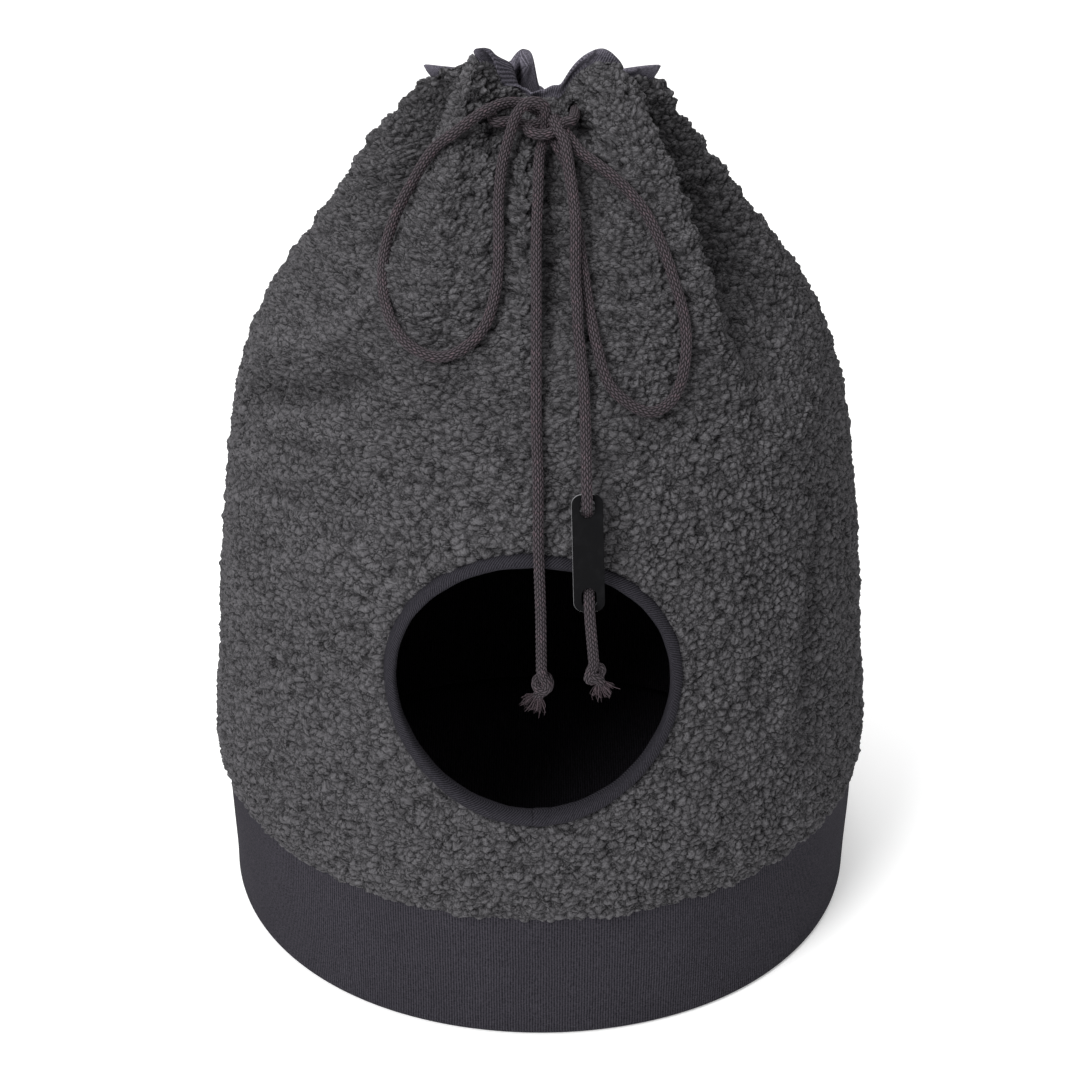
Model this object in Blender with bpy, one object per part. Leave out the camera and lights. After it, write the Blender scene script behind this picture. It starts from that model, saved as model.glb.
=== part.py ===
"""Felt cat cave: a soft, gathered pile den on a canvas base, closed at the top by a tied drawstring.

Units are metres. +Z is up, the entrance faces -Y and +X is the right-hand side seen from the front.
The origin is on the floor, at the middle of the floor panel's underside.
Azimuths are in degrees, counted from +X towards +Y, so the front is at -90.
"""

import math

import bmesh
import bpy
from mathutils import Matrix, Vector

# ---------------------------------------------------------------- driving sizes
BASE_RADIUS = 0.2008
BASE_SQUARENESS = 0.004
BASE_DEEPENING = 0.0085
BAND_TOP_RADIUS = 0.2025
BAND_HEIGHT = 0.0885
BAND_THICKNESS = 0.003
BAND_SOFT_EDGE = 0.0035
FLOOR_THICKNESS = 0.003
BAND_SEGMENTS = 72
WALL_THICKNESS = 0.007
RIM_THICKNESS = 0.0045
GAP = 0.0003
FACET_ALLOWANCE = 0.0003
RIM_HEIGHT = 0.548

ENTRANCE_CENTRE_X = -0.004
ENTRANCE_CENTRE_Z = 0.243
ENTRANCE_RADIUS = 0.0785
BINDING_WIDTH = 0.0095
BINDING_DEPTH = 0.012
ENTRANCE_CUTTER_LENGTH = 0.10
ENTRANCE_CUTTER_Y = -0.19

FACING_THICKNESS = 0.0018
FACING_GAP = 0.0021
FACING_ROWS = 4
FACING_TURNS_OUT_TO = 0.0032

# The den's own shape: one row per level, the radius to the side, to the front and to the back, and how
# steeply the level leans, higher at the front than at the back.
SECTIONS = [
    # height, side, front, back, lean
    (BAND_HEIGHT, 0.2040, 0.2040, 0.2040, 0.00),
    (0.096, 0.2064, 0.2064, 0.2064, 0.00),
    (0.110, 0.2076, 0.2076, 0.2076, 0.00),
    (0.130, 0.2068, 0.2068, 0.2068, 0.00),
    (0.160, 0.2035, 0.2035, 0.2035, 0.00),
    (0.220, 0.1992, 0.1992, 0.1992, 0.00),
    (0.280, 0.1930, 0.1930, 0.1930, 0.00),
    (0.340, 0.1843, 0.1843, 0.1838, 0.00),
    (0.380, 0.1720, 0.1718, 0.1712, 0.01),
    (0.420, 0.1500, 0.1480, 0.1475, 0.03),
    (0.460, 0.1200, 0.1150, 0.1140, 0.08),
    (0.500, 0.0930, 0.0800, 0.0800, 0.16),
    (0.520, 0.0795, 0.0620, 0.0620, 0.21),
    (RIM_HEIGHT, 0.0640, 0.0400, 0.0420, 0.25),
]

# The folds that the drawstring makes, in order round the den. Each starts at its own low end and runs up
# the wall past the shoulder to the rim. A ridge stands out and a valley is drawn in by the stated
# depths, the rim rises or drops there, and the canvas facing stands above the pile. The last column is
# the mesh's steps to the next fold.
SHOULDER_HEIGHT = 0.455
FOLDS = [
    # name, azimuth at rim, at shoulder, at foot, out at rim, at shoulder, low end, rim rise, facing, steps
    ("left corner ridge", -178, -176, -174, 0.009, 0.004, 0.40, -0.008, 0.0075, 4),
    ("left valley", -157, -148, -144, -0.016, -0.012, 0.37, -0.009, 0.0030, 4),
    ("left ridge", -130, -119, -114, 0.011, 0.010, 0.38, 0.0045, 0.0080, 4),
    ("slot valley", -111, -99, -98, -0.012, -0.006, 0.41, -0.0165, 0.0035, 2),
    ("knot ridge", -99, -93, -93, -0.003, -0.001, 0.41, -0.0185, 0.0035, 2),
    ("knot valley", -87, -87, -88, -0.010, -0.012, 0.40, -0.0195, 0.0055, 3),
    ("right slot", -72, -76, -80, -0.004, -0.004, 0.40, -0.0180, 0.0075, 3),
    ("right panel ridge", -51, -60, -68, 0.011, 0.009, 0.39, 0.0050, 0.0075, 4),
    ("right panel edge", -33, -47, -52, 0.009, 0.010, 0.35, -0.0035, 0.0030, 3),
    ("right valley", -22, -35, -42, -0.020, -0.014, 0.37, -0.0110, 0.0030, 5),
    ("right corner ridge", 0, -8, -14, 0.011, 0.006, 0.40, -0.0085, 0.0075, 4),
    ("right rear valley", 19, 14, 12, -0.018, -0.007, 0.40, -0.0130, 0.0030, 4),
    ("right rear ridge", 38, 38, 37, 0.009, 0.008, 0.38, -0.0160, 0.0040, 4),
    ("rear right valley", 56, 59, 60, -0.018, -0.010, 0.39, -0.0260, 0.0030, 4),
    ("rear ridge", 76, 79, 80, 0.004, 0.008, 0.40, -0.0280, 0.0030, 4),
    ("rear left valley", 90, 96, 99, -0.012, -0.010, 0.41, -0.0230, 0.0040, 4),
    ("rear flap ridge", 102, 114, 119, 0.006, 0.009, 0.38, -0.0055, 0.0075, 4),
    ("left rear valley", 130, 137, 139, -0.018, -0.009, 0.40, -0.0140, 0.0030, 4),
    ("left rear ridge", 151, 154, 156, 0.009, 0.007, 0.39, -0.0130, 0.0040, 4),
    ("side valley", 166, 169, 171, -0.015, -0.005, 0.41, -0.0120, 0.0030, 4),
]
FOLD_DEEPENING = 0.6
RIM_RISE_START = 0.500

# Heights of the wall's rows of points, closer together where the folds are deep.
ROW_HEIGHTS = [BAND_HEIGHT, 0.094, 0.105, 0.135, 0.165, 0.200, 0.235, 0.270, 0.305, 0.335, 0.360, 0.383, 0.405,
               0.425, 0.444, 0.462, 0.479, 0.495, 0.510, 0.524, 0.537, RIM_HEIGHT]


# The drawstring. It leaves the wall at two slots, is tied in a bow between them, and its two tails hang
# down in front of the entrance. Each stretch is a list of points on its centre line.
CORD_DIAMETER = 0.006
CORD_POINT_SPACING = 0.014
CORD_TURN_STEP = math.radians(25)
ROUTE_SAMPLES = 12
CORD_ROUTES = {
    "left_lead": [(-0.0250, -0.0568, 0.5340), (-0.0190, -0.0563, 0.5340), (-0.0140, -0.0569, 0.5340),
                  (-0.0103, -0.0587, 0.5338)],
    "right_lead": [(0.0270, -0.0650, 0.5385), (0.0220, -0.0645, 0.5378), (0.0185, -0.0632, 0.5370),
                   (0.0150, -0.0615, 0.5362)],
    "left_loop": [(0.0032, -0.0605, 0.5424), (0.0016, -0.0607, 0.5460), (-0.0038, -0.0612, 0.5480),
                  (-0.0095, -0.0616, 0.5455), (-0.0136, -0.0634, 0.5395), (-0.0163, -0.0662, 0.5320),
                  (-0.0187, -0.0690, 0.5240), (-0.021, -0.0735, 0.516), (-0.023, -0.086, 0.500), (-0.023, -0.098, 0.487),
                  (-0.023, -0.110, 0.473), (-0.025, -0.122, 0.458), (-0.031, -0.134, 0.444),
                  (-0.043, -0.141, 0.434), (-0.057, -0.142, 0.430), (-0.072, -0.136, 0.434),
                  (-0.083, -0.122, 0.443), (-0.088, -0.101, 0.455), (-0.087, -0.084, 0.469),
                  (-0.081, -0.073, 0.485), (-0.071, -0.069, 0.504), (-0.059, -0.068, 0.523),
                  (-0.047, -0.069, 0.533), (-0.034, -0.062, 0.5405), (-0.022, -0.0525, 0.5430),
                  (-0.012, -0.048, 0.5420), (-0.005, -0.0500, 0.5403)],
    "right_loop": [(0.0095, -0.0668, 0.5242), (0.0150, -0.0750, 0.5160), (0.018, -0.085, 0.505),
                   (0.021, -0.099, 0.487), (0.024, -0.113, 0.470), (0.027, -0.125, 0.453),
                   (0.031, -0.139, 0.437), (0.037, -0.151, 0.420), (0.047, -0.156, 0.410),
                   (0.060, -0.156, 0.403), (0.071, -0.150, 0.405), (0.078, -0.142, 0.414),
                   (0.081, -0.133, 0.430), (0.080, -0.123, 0.445), (0.075, -0.114, 0.461),
                   (0.068, -0.104, 0.479), (0.059, -0.095, 0.495), (0.047, -0.088, 0.508),
                   (0.034, -0.081, 0.517), (0.0235, -0.0745, 0.5225), (0.0168, -0.0675, 0.5285)],
    "left_tail": [(0.0010, -0.0665, 0.5235), (-0.0005, -0.0730, 0.5180), (-0.001, -0.085, 0.507),
                  (-0.002, -0.105, 0.484), (-0.002, -0.125, 0.459), (-0.002, -0.148, 0.431),
                  (-0.002, -0.167, 0.401), (-0.001, -0.181, 0.371), (-0.001, -0.1895, 0.342),
                  (-0.0005, -0.1935, 0.3255), (0.0000, -0.1948, 0.3100), (0.0004, -0.1950, 0.2950),
                  (0.0006, -0.1950, 0.2780), (0.0008, -0.1950, 0.2580)],
    "right_tail": [(0.0100, -0.0700, 0.5330), (0.0135, -0.0745, 0.5300), (0.0155, -0.0815, 0.5225),
                   (0.0175, -0.0900, 0.5110), (0.0195, -0.1035, 0.4950), (0.0195, -0.1125, 0.4815),
                   (0.0195, -0.1205, 0.4700), (0.0205, -0.1310, 0.4555), (0.0210, -0.1375, 0.4450),
                   (0.0225, -0.1450, 0.4320), (0.0240, -0.1535, 0.4200), (0.0250, -0.1675, 0.4000),
                   (0.0253, -0.1800, 0.3859), (0.0255, -0.1873, 0.3795), (0.0256, -0.1919, 0.3738),
                   (0.0258, -0.1937, 0.3684), (0.0259, -0.1931, 0.3644), (0.0259, -0.1902, 0.3616),
                   (0.0260, -0.1874, 0.3587), (0.0261, -0.1868, 0.3548), (0.0262, -0.1876, 0.3498),
                   (0.0264, -0.1889, 0.3430), (0.0266, -0.1905, 0.3348), (0.0268, -0.1921, 0.3267),
                   (0.0270, -0.1936, 0.3198), (0.0271, -0.1948, 0.3150), (0.0272, -0.1968, 0.3115),
                   (0.0273, -0.2006, 0.3100), (0.0273, -0.2043, 0.3085), (0.0274, -0.2063, 0.3051),
                   (0.0280, -0.2079, 0.2970), (0.0288, -0.2084, 0.2880), (0.0300, -0.2085, 0.2735)],
}

BOW_KNOT_CENTRE = (0.0020, -0.0605, 0.5325)
BOW_KNOT_HALF_SIZES = (0.0115, 0.0070, 0.0070)
BOW_WRAP_RADIUS = 0.0040
BOW_WRAP_AXIS = (0.9, 0.0, -0.25)

KNOT_WRAP_SINK = 0.0030
THREADS_PER_TUFT = 12
THREAD_RADIUS = 0.0008
THREAD_TAPER = 0.6
THREAD_ROOT_DEPTH = 0.003
THREAD_RING = 0.0024
GOLDEN_ANGLE = math.radians(137.5)
END_KNOTS = [
    # name, centre, half sizes, wrap axis, stub's end, tuft's axis, spread, thread length
    ("end_knot_left", (0.0017, -0.1950, 0.2500), (0.0064, 0.0062, 0.0068), (0.8, 0.3, 0.6),
     (-0.0022, -0.1950, 0.2395), (-0.35, 0.0, -1.0), 1.0, 0.0085),
    ("end_knot_right", (0.0308, -0.2085, 0.2655), (0.0072, 0.0064, 0.0064), (0.5, 0.3, 0.9),
     (0.0335, -0.2090, 0.2590), (0.45, 0.0, -1.0), 0.9, 0.0090),
]

TAG_WIDTH = 0.0175
TAG_LENGTH = 0.0686
TAG_THICKNESS = 0.0014
TAG_CORNER = 0.0058
TAG_SLOT_WIDTH = 0.0082
TAG_SLOT_LENGTH = 0.0118
TAG_SLOT_FROM_END = 0.0080
TAG_CENTRE = (0.0266, -0.1954, 0.3358)
TAG_UP = (-0.025, 0.196, 0.980)


# ---------------------------------------------------------------- helpers
def smooth(value):
    """Ease from 0 to 1 with level ends."""
    value = min(1.0, max(0.0, value))
    return value * value * (3.0 - 2.0 * value)


def table_value(rows, key, column):
    """Read a column of a table at a key in its first column, on a smooth curve through the rows."""
    keys = [row[0] for row in rows]
    key = min(keys[-1], max(keys[0], key))
    index = max(i for i in range(len(rows) - 1) if keys[i] <= key)

    def slope(i):
        low = max(0, i - 1)
        high = min(len(rows) - 1, i + 1)
        return (rows[high][column] - rows[low][column]) / (keys[high] - keys[low])

    span = keys[index + 1] - keys[index]
    u = (key - keys[index]) / span
    start = rows[index][column]
    end = rows[index + 1][column]
    return (start * (1 + 2 * u) * (1 - u) ** 2 + end * u * u * (3 - 2 * u)
            + span * (slope(index) * u * (1 - u) ** 2 + slope(index + 1) * u * u * (u - 1)))


def between(low, high, share):
    return low + (high - low) * share


def fold_at(position):
    """The fold's row at a place round the den: whole numbers are the table's rows."""
    count = len(FOLDS)
    index = int(math.floor(position)) % count
    share = position - math.floor(position)
    here = FOLDS[index]
    after = FOLDS[(index + 1) % count]
    turn = 360.0 if index == count - 1 else 0.0
    azimuths = [between(here[k], after[k] + turn, share) for k in (1, 2, 3)]
    outs = [between(here[k], after[k], smooth(share)) for k in (4, 5, 6, 7, 8)]
    return azimuths + outs


def level_ring(height):
    """One level of the pile's outer face: azimuth in radians, radius, rim rise and facing per column."""
    side, depth_front, depth_back = (table_value(SECTIONS, height, column) for column in (1, 2, 3))
    ring = []
    for position in fold_positions():
        (rim_azimuth, shoulder_azimuth, foot_azimuth, rim_out, shoulder_out, low_end, rim_rise,
         facing_stands) = fold_at(position)
        if height < SHOULDER_HEIGHT:
            share = smooth((height - BAND_HEIGHT) / (SHOULDER_HEIGHT - BAND_HEIGHT))
            azimuth = between(foot_azimuth, shoulder_azimuth, share)
            out = shoulder_out * smooth((height - low_end) / (SHOULDER_HEIGHT - low_end))
        else:
            share = (height - SHOULDER_HEIGHT) / (RIM_HEIGHT - SHOULDER_HEIGHT)
            azimuth = between(shoulder_azimuth, rim_azimuth, share)
            out = between(shoulder_out, rim_out, share ** FOLD_DEEPENING)
        angle = math.radians(azimuth)
        depth = depth_front if math.sin(angle) < 0 else depth_back
        radius = 1.0 / math.hypot(math.cos(angle) / side, math.sin(angle) / depth) + out
        rise = rim_rise * smooth((height - RIM_RISE_START) / (RIM_HEIGHT - RIM_RISE_START))
        ring.append((angle, radius, rise, facing_stands))
    return ring


def inset_radius(ring, angle, inset):
    """How far out a point may be on one bearing and still keep the inset from the whole outer face."""
    nearest = math.inf
    for other_angle, radius, *_ in ring:
        along = radius * math.cos(other_angle - angle)
        across = radius * math.sin(other_angle - angle)
        if along > 0 and abs(across) < inset:
            nearest = min(nearest, along - math.sqrt(inset * inset - across * across))
    return nearest


def wall_ring(height, inset=0.0, facing_share=0.0):
    """The points of one level of the wall, on its outer face or a way inside it."""
    lean = table_value(SECTIONS, height, 4)
    ring = level_ring(height)
    points = []
    for angle, radius, rise, facing_stands in ring:
        if inset:
            radius = min(radius - inset, inset_radius(ring, angle, inset))
        x = radius * math.cos(angle)
        y = radius * math.sin(angle)
        points.append(Vector((x, y, height - lean * y + rise + facing_stands * facing_share)))
    return points


def thickness_at(height):
    """The pile cloth is thinner where it is turned over at the rim."""
    share = smooth((height - RIM_RISE_START) / (RIM_HEIGHT - RIM_RISE_START))
    return between(WALL_THICKNESS, RIM_THICKNESS, share)


def fold_positions():
    """The places round the den where the mesh has a column of points."""
    positions = []
    for index, row in enumerate(FOLDS):
        steps = row[-1]
        positions += [index + step / steps for step in range(steps)]
    return positions


def collection(name):
    made = bpy.data.collections.new(name)
    bpy.context.scene.collection.children.link(made)
    return made


def material(name, colour, roughness, metallic=0.0):
    made = bpy.data.materials.new(name)
    made.use_nodes = True
    shader = made.node_tree.nodes["Principled BSDF"]
    shader.inputs["Base Color"].default_value = (*colour, 1.0)
    shader.inputs["Roughness"].default_value = roughness
    shader.inputs["Metallic"].default_value = metallic
    return made


def link(obj, group, finish):
    """Put an object in its collection with its finish, shaded smooth."""
    for other in list(obj.users_collection):
        other.objects.unlink(obj)
    group.objects.link(obj)
    obj.data.materials.clear()
    obj.data.materials.append(finish)
    if obj.type == "MESH":
        obj.data.shade_smooth()
    return obj


def loft(name, rings, closed_section):
    """Skin a list of rings of points. A closed section joins the last ring back to the first.

    Each face is split the same way round, so that one skin stays inside another.
    """
    mesh = bmesh.new()
    skins = [[mesh.verts.new(point) for point in ring] for ring in rings]
    pairs = list(zip(skins, skins[1:]))
    if closed_section:
        pairs.append((skins[-1], skins[0]))
    for low, high in pairs:
        for i in range(len(low)):
            after = (i + 1) % len(low)
            mesh.faces.new((low[i], low[after], high[after]))
            mesh.faces.new((low[i], high[after], high[i]))
    bmesh.ops.recalc_face_normals(mesh, faces=mesh.faces)
    data = bpy.data.meshes.new(name)
    mesh.to_mesh(data)
    mesh.free()
    return bpy.data.objects.new(name, data)


# ---------------------------------------------------------------- cloth pieces
def make_sherpa_wall(group, cutters, finish):
    """The pile panel: one closed skin, outer face up, over the rim and inner face down."""
    outer = [wall_ring(height) for height in ROW_HEIGHTS]
    inner = [wall_ring(height, thickness_at(height)) for height in ROW_HEIGHTS]
    wall = link(loft("sherpa_wall", outer + inner[::-1], True), group, finish)
    cutter = make_entrance_cutter(cutters)
    cut = wall.modifiers.new("entrance", "BOOLEAN")
    cut.operation = "DIFFERENCE"
    cut.solver = "EXACT"
    cut.object = cutter
    return wall


def make_entrance_cutter(cutters):
    """A drum that cuts the round entrance, a gap wider than the binding."""
    bpy.ops.mesh.primitive_cylinder_add(
        vertices=48,
        radius=ENTRANCE_RADIUS + BINDING_WIDTH + GAP + FACET_ALLOWANCE,
        depth=ENTRANCE_CUTTER_LENGTH,
        location=(ENTRANCE_CENTRE_X, ENTRANCE_CUTTER_Y, ENTRANCE_CENTRE_Z),
        rotation=(math.radians(90), 0, 0),
    )
    cutter = bpy.context.active_object
    cutter.name = "entrance_cutter"
    for other in list(cutter.users_collection):
        other.objects.unlink(cutter)
    cutters.objects.link(cutter)
    cutter.hide_render = True
    cutter.display_type = "WIRE"
    return cutter


def make_base_band(group, finish):
    """The canvas band, softly turned under at the foot."""
    corner_steps = 3
    profile = [(BAND_TOP_RADIUS, BAND_HEIGHT - GAP)]
    for step in range(corner_steps + 1):
        angle = math.radians(90 * step / corner_steps)
        profile.append((BASE_RADIUS - BAND_SOFT_EDGE * (1 - math.cos(angle)),
                        BAND_SOFT_EDGE * (1 - math.sin(angle))))
    for step in range(corner_steps, -1, -1):
        angle = math.radians(90 * step / corner_steps)
        inner = BAND_SOFT_EDGE - BAND_THICKNESS
        profile.append((BASE_RADIUS - BAND_THICKNESS - inner * (1 - math.cos(angle)),
                        BAND_THICKNESS + inner * (1 - math.sin(angle))))
    profile.append((BAND_TOP_RADIUS - BAND_THICKNESS, BAND_HEIGHT - GAP))
    return link(turned("base_band", profile, BAND_SEGMENTS), group, finish)


def foot_plan(angle, height):
    """The soft canvas foot is a little squarer and deeper than a circle, and round at the seam above."""
    share = max(0.0, 1.0 - height / BAND_HEIGHT)
    return 1.0 + share * (BASE_DEEPENING * math.sin(angle) ** 2 - BASE_SQUARENESS * math.cos(4 * angle))


def turned(name, profile, segments):
    """Turn a closed profile of (radius, height) round the Z axis on the foot's plan."""
    rings = []
    angles = [2 * math.pi * i / segments for i in range(segments)]
    for radius, height in profile:
        reaches = [radius * foot_plan(a, height) for a in angles]
        rings.append([Vector((r * math.cos(a), r * math.sin(a), height)) for r, a in zip(reaches, angles)])
    return loft(name, rings, True)


def make_base_floor(group, finish):
    """The floor panel, flat on the ground inside the band's turned edge."""
    mesh = bmesh.new()
    radius = BASE_RADIUS - BAND_SOFT_EDGE - GAP - FACET_ALLOWANCE
    bmesh.ops.create_cone(mesh, cap_ends=True, segments=BAND_SEGMENTS, radius1=radius, radius2=radius,
                          depth=FLOOR_THICKNESS)
    for vertex in mesh.verts:
        plan = foot_plan(math.atan2(vertex.co.y, vertex.co.x), 0.0)
        vertex.co.x *= plan
        vertex.co.y *= plan
        vertex.co.z += FLOOR_THICKNESS / 2
    data = bpy.data.meshes.new("base_floor")
    mesh.to_mesh(data)
    mesh.free()
    return link(bpy.data.objects.new("base_floor", data), group, finish)


def front_face_depth(x, z):
    """How far forward the pile's face stands at a place of the entrance, with no fold."""
    side = table_value(SECTIONS, z, 1)
    depth = table_value(SECTIONS, z, 2)
    return -depth * math.sqrt(1 - (x / side) ** 2)


def make_entrance_binding(group, finish):
    """The woven tape ring that edges the entrance, bent to the wall's curve."""
    bpy.ops.mesh.primitive_torus_add(
        major_segments=56,
        minor_segments=10,
        major_radius=ENTRANCE_RADIUS + BINDING_WIDTH / 2,
        minor_radius=BINDING_WIDTH / 2,
        rotation=(math.radians(90), 0, 0),
    )
    ring = bpy.context.active_object
    ring.name = "entrance_binding"
    turn = ring.matrix_world.to_3x3()
    middle = WALL_THICKNESS / 2
    for vertex in ring.data.vertices:
        place = turn @ vertex.co
        x = place.x + ENTRANCE_CENTRE_X
        z = place.z + ENTRANCE_CENTRE_Z
        y = place.y * BINDING_DEPTH / BINDING_WIDTH + front_face_depth(x, z) + middle
        vertex.co = Vector((x, y, z))
    ring.matrix_world.identity()
    ring.data.update()
    return link(ring, group, finish)


def make_top_facing(group, finish):
    """The canvas facing: up the inside of the rim, and turned out above the pile's cut edge."""
    heights = ROW_HEIGHTS[-FACING_ROWS:]
    insets = [thickness_at(height) + FACING_GAP for height in heights]
    outer = [wall_ring(height, inset) for height, inset in zip(heights, insets)]
    outer.append(wall_ring(RIM_HEIGHT, FACING_TURNS_OUT_TO, 1.0))
    inner = [wall_ring(height, inset + FACING_THICKNESS) for height, inset in zip(heights, insets)]
    inner.append(wall_ring(RIM_HEIGHT, FACING_TURNS_OUT_TO + FACING_THICKNESS, 1.0))
    return link(loft("top_facing", inner + outer[::-1], True), group, finish)


# ---------------------------------------------------------------- the drawstring and what is on it
def curve_point(points, index, share):
    """A point of the smooth curve through hand-chosen points, a share of the way past one of them."""
    before = points[max(0, index - 1)]
    start = points[index]
    end = points[index + 1]
    beyond = points[min(len(points) - 1, index + 2)]
    return (start * 2 + (end - before) * share
            + (before * 2 - start * 5 + end * 4 - beyond) * share ** 2
            + (start * 3 - before - end * 3 + beyond) * share ** 3) / 2


def cord_points(route):
    """Points along the smooth curve through a route, one for each even step of length or of turn."""
    points = [Vector(point) for point in route]
    fine = [curve_point(points, i, step / ROUTE_SAMPLES)
            for i in range(len(points) - 1) for step in range(ROUTE_SAMPLES)]
    fine.append(points[-1])
    travelled = [0.0]
    heading = fine[1] - fine[0]
    for start, end in zip(fine, fine[1:]):
        reach = end - start
        steps = reach.length / CORD_POINT_SPACING + heading.angle(reach) / CORD_TURN_STEP
        travelled.append(travelled[-1] + steps)
        heading = reach
    count = math.ceil(travelled[-1])
    result = []
    index = 0
    for step in range(count + 1):
        target = travelled[-1] * step / count
        while index < len(fine) - 2 and travelled[index + 1] < target:
            index += 1
        span = travelled[index + 1] - travelled[index]
        result.append(fine[index].lerp(fine[index + 1], (target - travelled[index]) / span))
    return result


def make_cord(name, route, group, finish):
    """A stretch of the drawstring: a round tube along its route."""
    points = cord_points(route)
    data = bpy.data.curves.new(name, "CURVE")
    data.dimensions = "3D"
    data.bevel_depth = CORD_DIAMETER / 2
    data.bevel_resolution = 2
    data.use_fill_caps = True
    spline = data.splines.new("POLY")
    spline.points.add(len(points) - 1)
    for target, point in zip(spline.points, points):
        target.co = (*point, 1.0)
    return link(bpy.data.objects.new(name, data), group, finish)


def keep_as_piece(obj, pieces):
    """Put an object among the hidden pieces that a union takes."""
    for other in list(obj.users_collection):
        other.objects.unlink(obj)
    pieces.objects.link(obj)
    obj.hide_render = True
    obj.display_type = "WIRE"
    return obj


def join_all(obj, pieces):
    """Fuse an object with every piece of a collection into one body."""
    fuse = obj.modifiers.new("fuse", "BOOLEAN")
    fuse.operation = "UNION"
    fuse.solver = "EXACT"
    fuse.operand_type = "COLLECTION"
    fuse.collection = pieces
    return obj


def lump(name, centre, half_sizes):
    """A smooth knot body."""
    bpy.ops.mesh.primitive_uv_sphere_add(segments=16, ring_count=10, radius=1.0)
    ball = bpy.context.active_object
    ball.name = name
    for vertex in ball.data.vertices:
        vertex.co = Vector([c * h for c, h in zip(vertex.co, half_sizes)]) + Vector(centre)
    return ball


def wrap(name, centre, radius, axis):
    """A turn of cord round a knot."""
    bpy.ops.mesh.primitive_torus_add(
        major_segments=18,
        minor_segments=8,
        major_radius=radius,
        minor_radius=CORD_DIAMETER / 2,
        location=centre,
        rotation=Vector(axis).to_track_quat("Z", "Y").to_euler(),
    )
    turn = bpy.context.active_object
    turn.name = name
    return turn


def strand(name, root, tip, root_radius, tip_radius, sides):
    """A tapered stub or thread from root to tip."""
    root = Vector(root)
    reach = Vector(tip) - root
    bpy.ops.mesh.primitive_cone_add(
        vertices=sides,
        radius1=root_radius,
        radius2=tip_radius,
        depth=reach.length,
        location=root + reach / 2,
        rotation=reach.to_track_quat("Z", "Y").to_euler(),
    )
    thread = bpy.context.active_object
    thread.name = name
    return thread


def make_bow_knot(group, finish):
    knot = link(lump("bow_knot", BOW_KNOT_CENTRE, BOW_KNOT_HALF_SIZES), group, finish)
    pieces = collection("bow_knot_pieces")
    keep_as_piece(wrap("bow_wrap", BOW_KNOT_CENTRE, BOW_WRAP_RADIUS, BOW_WRAP_AXIS), pieces)
    return join_all(knot, pieces)


def make_end_knot(row, group, finish):
    """An end knot: a ball with one wrap, the cord's stub below it and its frayed threads."""
    name, centre, half_sizes, wrap_axis, stub_end, tuft_axis, tuft_spread, thread_length = row
    knot = link(lump(name, centre, half_sizes), group, finish)
    pieces = collection(name + "_pieces")
    keep_as_piece(wrap(name + "_wrap", centre, half_sizes[0] - KNOT_WRAP_SINK, wrap_axis), pieces)
    keep_as_piece(strand(name + "_stub", centre, stub_end, CORD_DIAMETER / 2, CORD_DIAMETER / 2, 8), pieces)
    root = Vector(stub_end)
    along = Vector(tuft_axis).normalized()
    aside = along.orthogonal().normalized()
    other = along.cross(aside)
    for index in range(THREADS_PER_TUFT):
        share = math.sqrt((index + 0.5) / THREADS_PER_TUFT)
        bearing = index * GOLDEN_ANGLE
        fan = tuft_spread * share
        sideways = aside * math.cos(bearing) + other * math.sin(bearing)
        start = root - along * THREAD_ROOT_DEPTH + sideways * THREAD_RING * share
        reach = (along + sideways * fan).normalized() * (thread_length + THREAD_ROOT_DEPTH)
        keep_as_piece(strand(f"{name}_thread_{index:02d}", start, start + reach,
                             THREAD_RADIUS, THREAD_RADIUS * THREAD_TAPER, 4), pieces)
    return join_all(knot, pieces)


def rounded_outline(half_width, half_length, corner, steps, centre_y=0.0):
    """An oblong with round corners, as points going round it."""
    points = []
    for quarter, (sx, sy) in enumerate([(1, 1), (-1, 1), (-1, -1), (1, -1)]):
        for step in range(steps + 1):
            angle = math.radians(90 * (quarter + step / steps))
            points.append((sx * (half_width - corner) + corner * math.cos(angle),
                           sy * (half_length - corner) + corner * math.sin(angle) + centre_y))
    return points


def make_cord_tag(group, finish):
    """The bare tag: a thin rounded strip with a slot near each end for the cord."""
    data = bpy.data.curves.new("cord_tag", "CURVE")
    data.dimensions = "2D"
    data.fill_mode = "BOTH"
    data.extrude = TAG_THICKNESS / 2
    slot_y = TAG_LENGTH / 2 - TAG_SLOT_FROM_END
    outlines = [
        rounded_outline(TAG_WIDTH / 2, TAG_LENGTH / 2, TAG_CORNER, 4),
        rounded_outline(TAG_SLOT_WIDTH / 2, TAG_SLOT_LENGTH / 2, TAG_SLOT_WIDTH / 2, 4, slot_y),
        rounded_outline(TAG_SLOT_WIDTH / 2, TAG_SLOT_LENGTH / 2, TAG_SLOT_WIDTH / 2, 4, -slot_y),
    ]
    for outline in outlines:
        spline = data.splines.new("POLY")
        spline.points.add(len(outline) - 1)
        for target, (x, y) in zip(spline.points, outline):
            target.co = (x, y, 0.0, 1.0)
        spline.use_cyclic_u = True
    tag = bpy.data.objects.new("cord_tag", data)
    up = Vector(TAG_UP).normalized()
    face = Vector((1, 0, 0)).cross(up).normalized()
    across = up.cross(face)
    tag.matrix_world = Matrix.Translation(TAG_CENTRE) @ Matrix((across, up, face)).transposed().to_4x4()
    return link(tag, group, finish)


# ---------------------------------------------------------------- assembly
def clear_scene():
    for obj in list(bpy.data.objects):
        bpy.data.objects.remove(obj, do_unlink=True)


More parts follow.
